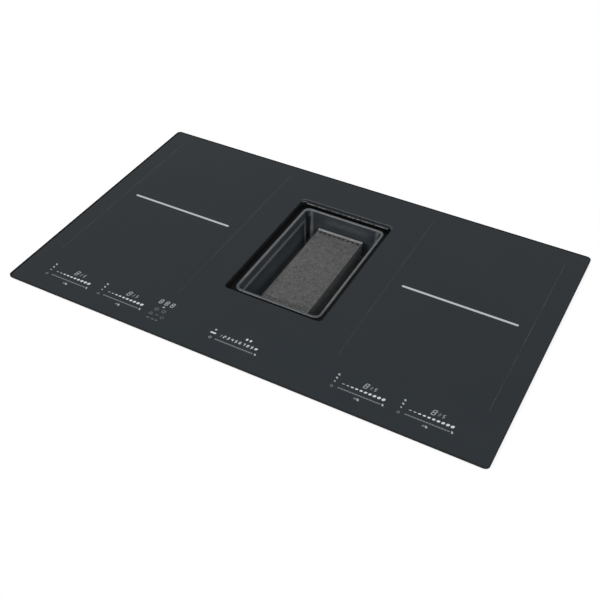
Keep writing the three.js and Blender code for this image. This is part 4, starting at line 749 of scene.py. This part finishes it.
def fan_artwork(finishes):
    """The extractor's group in the middle: level numerals over its own touch strip."""
    white, light, grey = Artwork(), Artwork(), Artwork()
    light.disc(-44.5, -203.2, 2.0)
    white.bar(-45.0, -211.0, 9.8, 3.1, LEAN, 0.4)
    grey.ring(-44.3, -221.8, 2.1, 1.6)
    numeral_x, pitch, numeral_y = FAN_NUMERALS
    for i in range(LEVEL_COUNT - 1):
        art = white if i > 0 else light
        art.digit(numeral_x + pitch * i, numeral_y, 3.5, 5.8, i + 1, 1.15, 0.18)
    white.bar(30.8, numeral_y, 4.6, 4.4, LEAN, 0.4)
    track(grey, *FAN_TRACK, 2.5, 4.2)
    light.bar(FAN_TRACK_END, FAN_TRACK[-1], 3.0, 4.2, -LEAN)
    for x in FAN_PAUSE:
        white.bar(x, -199.2, 3.4, 4.8, 0.12, 0.45)
    white.put("fan_marks", finishes["print_white"])
    light.put("fan_numerals", finishes["print_light"])
    grey.put("fan_tracks", finishes["print_grey"])


# ---- Mesh filter ----

WIRE_PITCH = 2.0 * MM
WIRE_RADIUS = 0.42 * MM
WIRE_SIDES = 5
WIRE_SWING = 0.8 * WIRE_RADIUS  # how far a wire passes over and under the weave's middle
HEM = 0.9 * MM  # the weave starts this far in from the filter's sides

FILTER_CORNER = 3.0 * MM
SHEET_THICKNESS = 0.8 * MM
SHEET_ROLL = ((0.0, 1.6), (0.25, 0.7), (0.8, 0.2), (1.3, 0.5), (1.3, 3.0))  # mm in and down from the top
LINER_INSET = 1.2 * MM
LINER_DEPTHS = (3.4 * MM, 2.6 * MM)

STITCH_PITCH = 9.1 * MM
STITCH_ENDS = 4 * MM  # left free at the two ends together
STITCH_GAP = 3.6 * MM  # from the rail to a stitch's middle
STITCH_HALF = (2.7 * MM, 1.9 * MM)
STITCH_LEVELS = (-0.6 * MM, 0.15 * MM)  # over the filter's top


def wire(shell, path, across):
    """A thin round wire along a path; across is the level direction square to it."""
    up = Vector((0, 0, 1))
    spokes = [WIRE_RADIUS * (math.cos(a) * across + math.sin(a) * up) for a in round_trip(WIRE_SIDES)]
    shell.skin([[place + spoke for spoke in spokes] for place in path])


def woven_top(finishes):
    """The plain weave of the filter's top, each wire passing over and under its neighbours."""
    weave = Shell()
    x0, x1 = FILTER_LOW.x + HEM, FILTER_HIGH.x - HEM
    y0, y1 = FILTER_LOW.y + HEM, FILTER_HIGH.y - HEM
    columns, rows = round((x1 - x0) / WIRE_PITCH), round((y1 - y0) / WIRE_PITCH)
    level = FILTER_HIGH.z - WIRE_SWING - WIRE_RADIUS
    xs = [x0 + (x1 - x0) * (i + 0.5) / columns for i in range(columns)]
    ys = [y0 + (y1 - y0) * (j + 0.5) / rows for j in range(rows)]
    for i, x in enumerate(xs):
        path = [Vector((x, y, level + WIRE_SWING * (-1) ** (i + j))) for j, y in enumerate(ys)]
        wire(weave, [Vector((x, y0, level)), *path, Vector((x, y1, level))], Vector((-1, 0, 0)))
    for j, y in enumerate(ys):
        path = [Vector((x, y, level - WIRE_SWING * (-1) ** (i + j))) for i, x in enumerate(xs)]
        wire(weave, [Vector((x0, y, level)), *path, Vector((x1, y, level))], Vector((0, 1, 0)))
    weave.make("filter_weave", finishes["filter_steel"], "filter", "filter_steel", True)


def filter_ring(inset, z):
    """The filter's outline, drawn in by an inset."""
    low, high = FILTER_LOW, FILTER_HIGH
    corner = FILTER_CORNER - inset
    return rounded(low.x + inset, high.x - inset, low.y + inset, high.y - inset, corner, z)


def filter_sides(finishes):
    """The smooth sheet sides, rolled over at the top. They stand for the filter's solid."""
    sides = Shell()
    rings = [filter_ring(SHEET_THICKNESS, FILTER_LOW.z), filter_ring(0.0, FILTER_LOW.z)]
    rings += [filter_ring(inset * MM, FILTER_HIGH.z - drop * MM) for inset, drop in SHEET_ROLL]
    sides.skin(rings, closed=False)
    made = sides.make("filter_side_sheet", finishes["filter_side"], "filter", "filter_steel", True)
    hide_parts("filter_mesh")


def filter_liner(finishes):
    """The darker sheet just under the weave."""
    liner = Shell()
    liner.skin([filter_ring(LINER_INSET, FILTER_HIGH.z - depth) for depth in LINER_DEPTHS])
    liner.make("filter_liner", finishes["filter_liner"], "filter", "filter_steel")


def filter_stitches(finishes):
    """The row of spot-welds where the rear and front rails hold the mesh."""
    stitches = Shell()
    count = int((FILTER_HIGH.x - FILTER_LOW.x - STITCH_ENDS) / STITCH_PITCH)
    half_x, half_y = STITCH_HALF
    levels = [FILTER_HIGH.z + level for level in STITCH_LEVELS]
    for y in (REAR_RAIL_FRONT - STITCH_GAP, FRONT_RAIL_REAR + STITCH_GAP):
        for i in range(count):
            x = (i - (count - 1) / 2) * STITCH_PITCH
            corners = rectangle(x - half_x, x + half_x, y - half_y, y + half_y)
            stitches.skin([[Vector((*corner, z)) for corner in corners] for z in levels])
    stitches.make("filter_stitches", finishes["black_plastic"], "filter", "black_plastic")


def mesh_filter(finishes):
    """The filter's looks. Its rails and base frame stay as they are in the CAD."""
    filter_sides(finishes)
    filter_liner(finishes)
    woven_top(finishes)
    filter_stitches(finishes)


# ---- Fasteners under the glass ----

DOWN = Vector((0, 0, -1))
SCREW_SIDES = 12
SCREW_SIZE = (3.4 * MM, 2.0 * MM)  # a pan head's radius and height
# A pan head's profile, as shares of its radius and height, and how deep the star of its recess cuts
SCREW_PROFILE = (
    (1.0, 0.0, 0.0),
    (1.0, 0.35, 0.0),
    (0.82, 0.8, 0.0),
    (0.55, 1.0, 0.0),
    (0.5, 1.0, 0.28),
    (0.46, 0.35, 0.28),
)
PLENUM_FLANGE = 3.3 * MM  # from the casing's bottom down to the screws' seats
BOX_RIM = 2.3 * MM
SCREW_PLACES = {  # inset from the housing's box, level, and shares of its width and depth
    "suction_plenum": (9 * MM, CASING_BOTTOM - PLENUM_FLANGE, (0, 1), (0, 0.33, 0.67, 1)),
    "control_box": (3.6 * MM, CASING_BOTTOM - BOX_RIM, (0, 0.5, 1), (0, 1)),
    "terminal_box": (3.6 * MM, CASING_BOTTOM - BOX_RIM, (0, 1), (0, 1)),
}

CLAMP_INSET = 7 * MM  # from a bracket's outer side to its screw
HEXAGON = (5.0 * MM, 3.6 * MM)  # the head's radius and height
HEXAGON_DROP = 4.2 * MM  # how far the head starts below the bracket's foot
SHANK_RADIUS = 2.3 * MM
SHANK_TOP = 26 * MM  # over the foot
THREAD_STEP = 0.8 * MM
THREAD_DEPTH = 0.35 * MM
THREAD_START = 4.0 * MM  # over the head's bottom


def screw(shell, place, pointing, size=SCREW_SIZE):
    """A pan head with a star recess, standing on its place and pointing outwards."""
    turn = Vector((0, 0, 1)).rotation_difference(pointing).to_matrix()
    head, height = size
    rings = []
    for radius, rise, star in SCREW_PROFILE:
        ring = []
        for i, a in enumerate(round_trip(SCREW_SIDES)):
            r = radius * head * (1 - star * (i % 2))
            ring.append(Vector(place) + turn @ Vector((r * math.cos(a), r * math.sin(a), rise * height)))
        rings.append(ring)
    shell.skin(rings)


def underside_screws(finishes):
    """The screws that hold the plenum and the two boxes, each on its own flange."""
    screws = Shell()
    for node, (inset, level, xs, ys) in SCREW_PLACES.items():
        low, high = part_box(node)
        for share_x in xs:
            for share_y in ys:
                x = low.x + inset + (high.x - low.x - 2 * inset) * share_x
                y = low.y + inset + (high.y - low.y - 2 * inset) * share_y
                screw(screws, (x, y, level), DOWN)
    screws.make("underside_screws", finishes["bright_steel"], "hob", "bright_steel", True)


def clamp_screws(finishes):
    """The clamping screws: a hexagon head below each bracket's foot and a threaded shank up from it."""
    screws = Shell()
    head, head_height = HEXAGON
    for end, side in (("front", "left"), ("rear", "left"), ("front", "right"), ("rear", "right")):
        low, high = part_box("clamp_%s_%s" % (end, side))
        x = high.x - CLAMP_INSET if side == "right" else low.x + CLAMP_INSET
        y = (low.y + high.y) / 2
        bottom = low.z - HEXAGON_DROP
        profile = [(head, bottom), (head, bottom + head_height), (SHANK_RADIUS, bottom + head_height)]
        for i in range(int((low.z + SHANK_TOP - bottom - head_height) / THREAD_STEP)):
            groove = THREAD_DEPTH * (i % 2)
            profile.append((SHANK_RADIUS - groove, bottom + THREAD_START + i * THREAD_STEP))
        screws.skin([circle(x, y, z, radius, 6) for radius, z in profile])
    screws.make("clamp_screws", finishes["bright_steel"], "hob", "bright_steel")


# ---- Moulded ribs and screw ears of the extractor's housings ----

RIB_PROUD = 2.2 * MM
RIB_WIDTH = 2.2 * MM
RIB_RUN = 5.0 * MM  # how far up a rib's ends slope out of the wall
RIB_ROOT = 0.4 * MM  # how deep it stands in the wall
RIB_END_PROUD = 0.1 * MM
FAR_OUTSIDE = 0.5  # a ray for a wall starts this far out

PLENUM_RIB_ENDS = (TANK_TOP + 10 * MM, CASING_BOTTOM - 7 * MM)
PLENUM_SIDE_RIBS = (40 * MM, 52 * MM, 6)  # the first one behind the plenum's front, pitch and count
PLENUM_END_RIBS = [i * 32 * MM for i in range(-2, 3)]
SCROLL_RIB_ENDS = (SCROLL_LOW.z + 4 * MM, SCROLL_HIGH.z - 3 * MM)
SCROLL_RIB_DEGREES = range(112, 352, 15)

EAR_DEGREES = range(120, 350, 45)
EAR_RADIUS = 4.2 * MM
EAR_LENGTH = 16.0 * MM
EAR_OFFSET = 3 * MM  # of its middle, out from the wall
EAR_SIDES = 12
# An ear's radius at each height over the scroll's split, from its chamfered foot up
EAR_PROFILE = (
    (0.6 * EAR_RADIUS, -EAR_LENGTH),
    (EAR_RADIUS, -EAR_LENGTH + 0.8 * MM),
    (EAR_RADIUS, 0.0),
    (EAR_RADIUS, 2.8 * MM),
)
EAR_SCREW_SIZE = (2.4 * MM, 1.4 * MM)


def walls_of(node):
    """A CAD node's faces, ready for rays."""
    mesh = frame["nodes"][node].data
    return BVHTree.FromPolygons([v.co for v in mesh.vertices], [p.vertices for p in mesh.polygons])


def wall_place(walls, foot, z, inward):
    """Where the outer wall lies, coming in from outside."""
    return walls.ray_cast(Vector((*foot, z)) - FAR_OUTSIDE * inward, inward)[0]


def to_blower(degrees):
    """The level direction that points at the blower's axis from an angle round it."""
    a = math.radians(degrees)
    return Vector((-math.cos(a), -math.sin(a), 0))


def rib(shell, walls, foot, ends, inward):
    """An upright rib on a wall, its ends sloping into it."""
    low, high = ends
    side = Vector((-inward.y, inward.x, 0)) * RIB_WIDTH / 2
    rings = []
    for z, proud in (
        (low, RIB_END_PROUD),
        (low + RIB_RUN, RIB_PROUD),
        (high - RIB_RUN, RIB_PROUD),
        (high, RIB_END_PROUD),
    ):
        place = wall_place(walls, foot, z, inward)
        back, front = place + RIB_ROOT * inward, place - proud * inward
        rings.append([front + side, front - side, back - side, back + side])
    shell.skin(rings)


def housing_ribs(finishes):
    """Ribs on the plenum's left side, its front and its rear, and round the scroll."""
    ribs = Shell()
    plenum = walls_of("suction_plenum")
    first, pitch, count = PLENUM_SIDE_RIBS
    for i in range(count):
        foot = (0.0, PLENUM_FRONT + first + i * pitch)
        rib(ribs, plenum, foot, PLENUM_RIB_ENDS, Vector((1, 0, 0)))
    for x in PLENUM_END_RIBS:
        for along in (1, -1):
            rib(ribs, plenum, (x, 0.0), PLENUM_RIB_ENDS, Vector((0, along, 0)))
    scroll = walls_of("scroll_lower")
    for degrees in SCROLL_RIB_DEGREES:
        rib(ribs, scroll, BLOWER, SCROLL_RIB_ENDS, to_blower(degrees))
    ribs.make("housing_ribs", finishes["black_plastic"], "hob", "black_plastic")


def scroll_ears(finishes):
    """Screw ears that join the two halves of the scroll, with a screw up into each."""
    ears, screws = Shell(), Shell()
    scroll = walls_of("scroll_lower")
    split = SCROLL_HIGH.z
    for degrees in EAR_DEGREES:
        inward = to_blower(degrees)
        place = wall_place(scroll, BLOWER, split - EAR_LENGTH, inward) - EAR_OFFSET * inward
        ears.skin([circle(place.x, place.y, split + rise, r, EAR_SIDES) for r, rise in EAR_PROFILE])
        screw(screws, (place.x, place.y, split - EAR_LENGTH), DOWN, EAR_SCREW_SIZE)
    ears.make("scroll_ears", finishes["black_plastic"], "hob", "black_plastic", True)
    screws.make("scroll_screws", finishes["bright_steel"], "hob", "bright_steel", True)


# ---- Stage, light and camera ----

WHITE = (1, 1, 1, 1)
WORKTOP = (-0.405, 0.62, -0.46, 0.245)  # left, right, front and rear: it shows in front and at the right
WORKTOP_HOLE = (-0.4035, 0.4035, -0.243, 0.243)
WORKTOP_LEVEL = -0.3 * MM  # just clear of the seal
WORKTOP_COLOUR = (0.9, 0.9, 0.9, 1)
WORKTOP_GLOW = 1.1  # for the camera alone, mixed by this share with what the lamps make of the colour
WORKTOP_GLOW_SHARE = 0.7

ROOM_SEEN = 1.0  # the room's strength to the camera, in reflections and through glass
ROOM_LIGHT = 0.75  # and as light on the object

LAMPS = {  # place, size, and power in watts
    "key": ((-1.15, -2.3, 2.05), 0.8, 34),
    "fill": ((1.7, -2.2, 1.5), 0.5, 22),
}

# The photograph's camera: a pinhole fitted to the corners of the glass, the opening and the tub's rim
CAMERA_PLACE = (0.5544, -1.1099, 1.01934)
CAMERA_RIGHT = (0.87167277, 0.49008545, -0.00168499)
CAMERA_DOWN = (0.32236306, -0.57594231, -0.75124731)
CAMERA_FORWARD = (-0.36914583, 0.65429864, -0.66001867)
CAMERA_SENSOR = 36.0
CAMERA_LENS = 57.52
CAMERA_SHIFT = 0.0578


def worktop_finish():
    """Pale and lit by the lamps, with a glow for the camera alone."""
    material = bpy.data.materials.new("worktop")
    material.use_nodes = True
    tree = material.node_tree
    tree.nodes.clear()
    seen = add_node(tree, "LightPath").outputs["Is Camera Ray"]
    share = add_node(tree, "Math", {0: seen, 1: WORKTOP_GLOW_SHARE}, operation="MULTIPLY")
    diffuse = add_node(tree, "BsdfDiffuse", {"Color": WORKTOP_COLOUR})
    glow = add_node(tree, "Emission", {"Strength": WORKTOP_GLOW})
    mix = add_node(tree, "MixShader", {0: share.outputs[0], 1: diffuse.outputs[0], 2: glow.outputs[0]})
    add_node(tree, "OutputMaterial", {"Surface": mix.outputs[0]})
    return material


def worktop():
    """A pale worktop plane with the cut-out that the casing hangs in."""
    corners = rectangle(*WORKTOP) + rectangle(*WORKTOP_HOLE)
    points = [(x, y, WORKTOP_LEVEL) for x, y in corners]
    faces = [(j, (j + 1) % 4, 4 + (j + 1) % 4, 4 + j) for j in range(4)]
    mesh = bpy.data.meshes.new("worktop")
    mesh.from_pydata(points, [], faces)
    mesh.materials.append(worktop_finish())
    obj = bpy.data.objects.new("worktop", mesh)
    bpy.context.scene.collection.objects.link(obj)


def surroundings():
    """An even pale room: white where it is seen, and a plain level as light."""
    world = bpy.data.worlds.new("room")
    bpy.context.scene.world = world
    world.use_nodes = True
    tree = world.node_tree
    tree.nodes.clear()
    path = add_node(tree, "LightPath").outputs
    seen = path["Is Camera Ray"]
    for kind in ("Is Glossy Ray", "Is Transmission Ray"):
        seen = add_node(tree, "Math", {0: seen, 1: path[kind]}, operation="MAXIMUM").outputs[0]
    levels = {"Value": seen, "To Min": ROOM_LIGHT, "To Max": ROOM_SEEN}
    strength = add_node(tree, "MapRange", levels).outputs["Result"]
    background = add_node(tree, "Background", {"Color": WHITE, "Strength": strength})
    add_node(tree, "OutputWorld", {"Surface": background.outputs[0]})


def softbox(name, place, size, power):
    """A square area lamp aimed at the middle of the glass."""
    lamp = bpy.data.lights.new(name, "AREA")
    lamp.size = size
    lamp.energy = power
    obj = bpy.data.objects.new(name, lamp)
    obj.location = place
    obj.rotation_euler = (-Vector(place)).to_track_quat("-Z", "Y").to_euler()
    bpy.context.scene.collection.objects.link(obj)


def camera():
    """The camera stands where the photograph's did."""
    data = bpy.data.cameras.new("camera")
    data.sensor_width = CAMERA_SENSOR
    data.lens = CAMERA_LENS
    data.shift_x = CAMERA_SHIFT
    obj = bpy.data.objects.new("camera", data)
    right, up, back = Vector(CAMERA_RIGHT), -Vector(CAMERA_DOWN), -Vector(CAMERA_FORWARD)
    turn = Matrix((right, up, back)).transposed().to_4x4()
    obj.matrix_world = Matrix.Translation(CAMERA_PLACE) @ turn
    bpy.context.scene.collection.objects.link(obj)
    bpy.context.scene.camera = obj


finishes = make_finishes()
dress_nodes(finishes)
edge_artwork(finishes)
zone_artwork(finishes)
slider_artwork(finishes)
timer_artwork(finishes)
fan_artwork(finishes)
mesh_filter(finishes)
underside_screws(finishes)
clamp_screws(finishes)
housing_ribs(finishes)
scroll_ears(finishes)
worktop()
surroundings()
for name, (place, size, power) in LAMPS.items():
    softbox(name, place, size, power)
camera()
bpy.context.scene.view_settings.view_transform = "Standard"
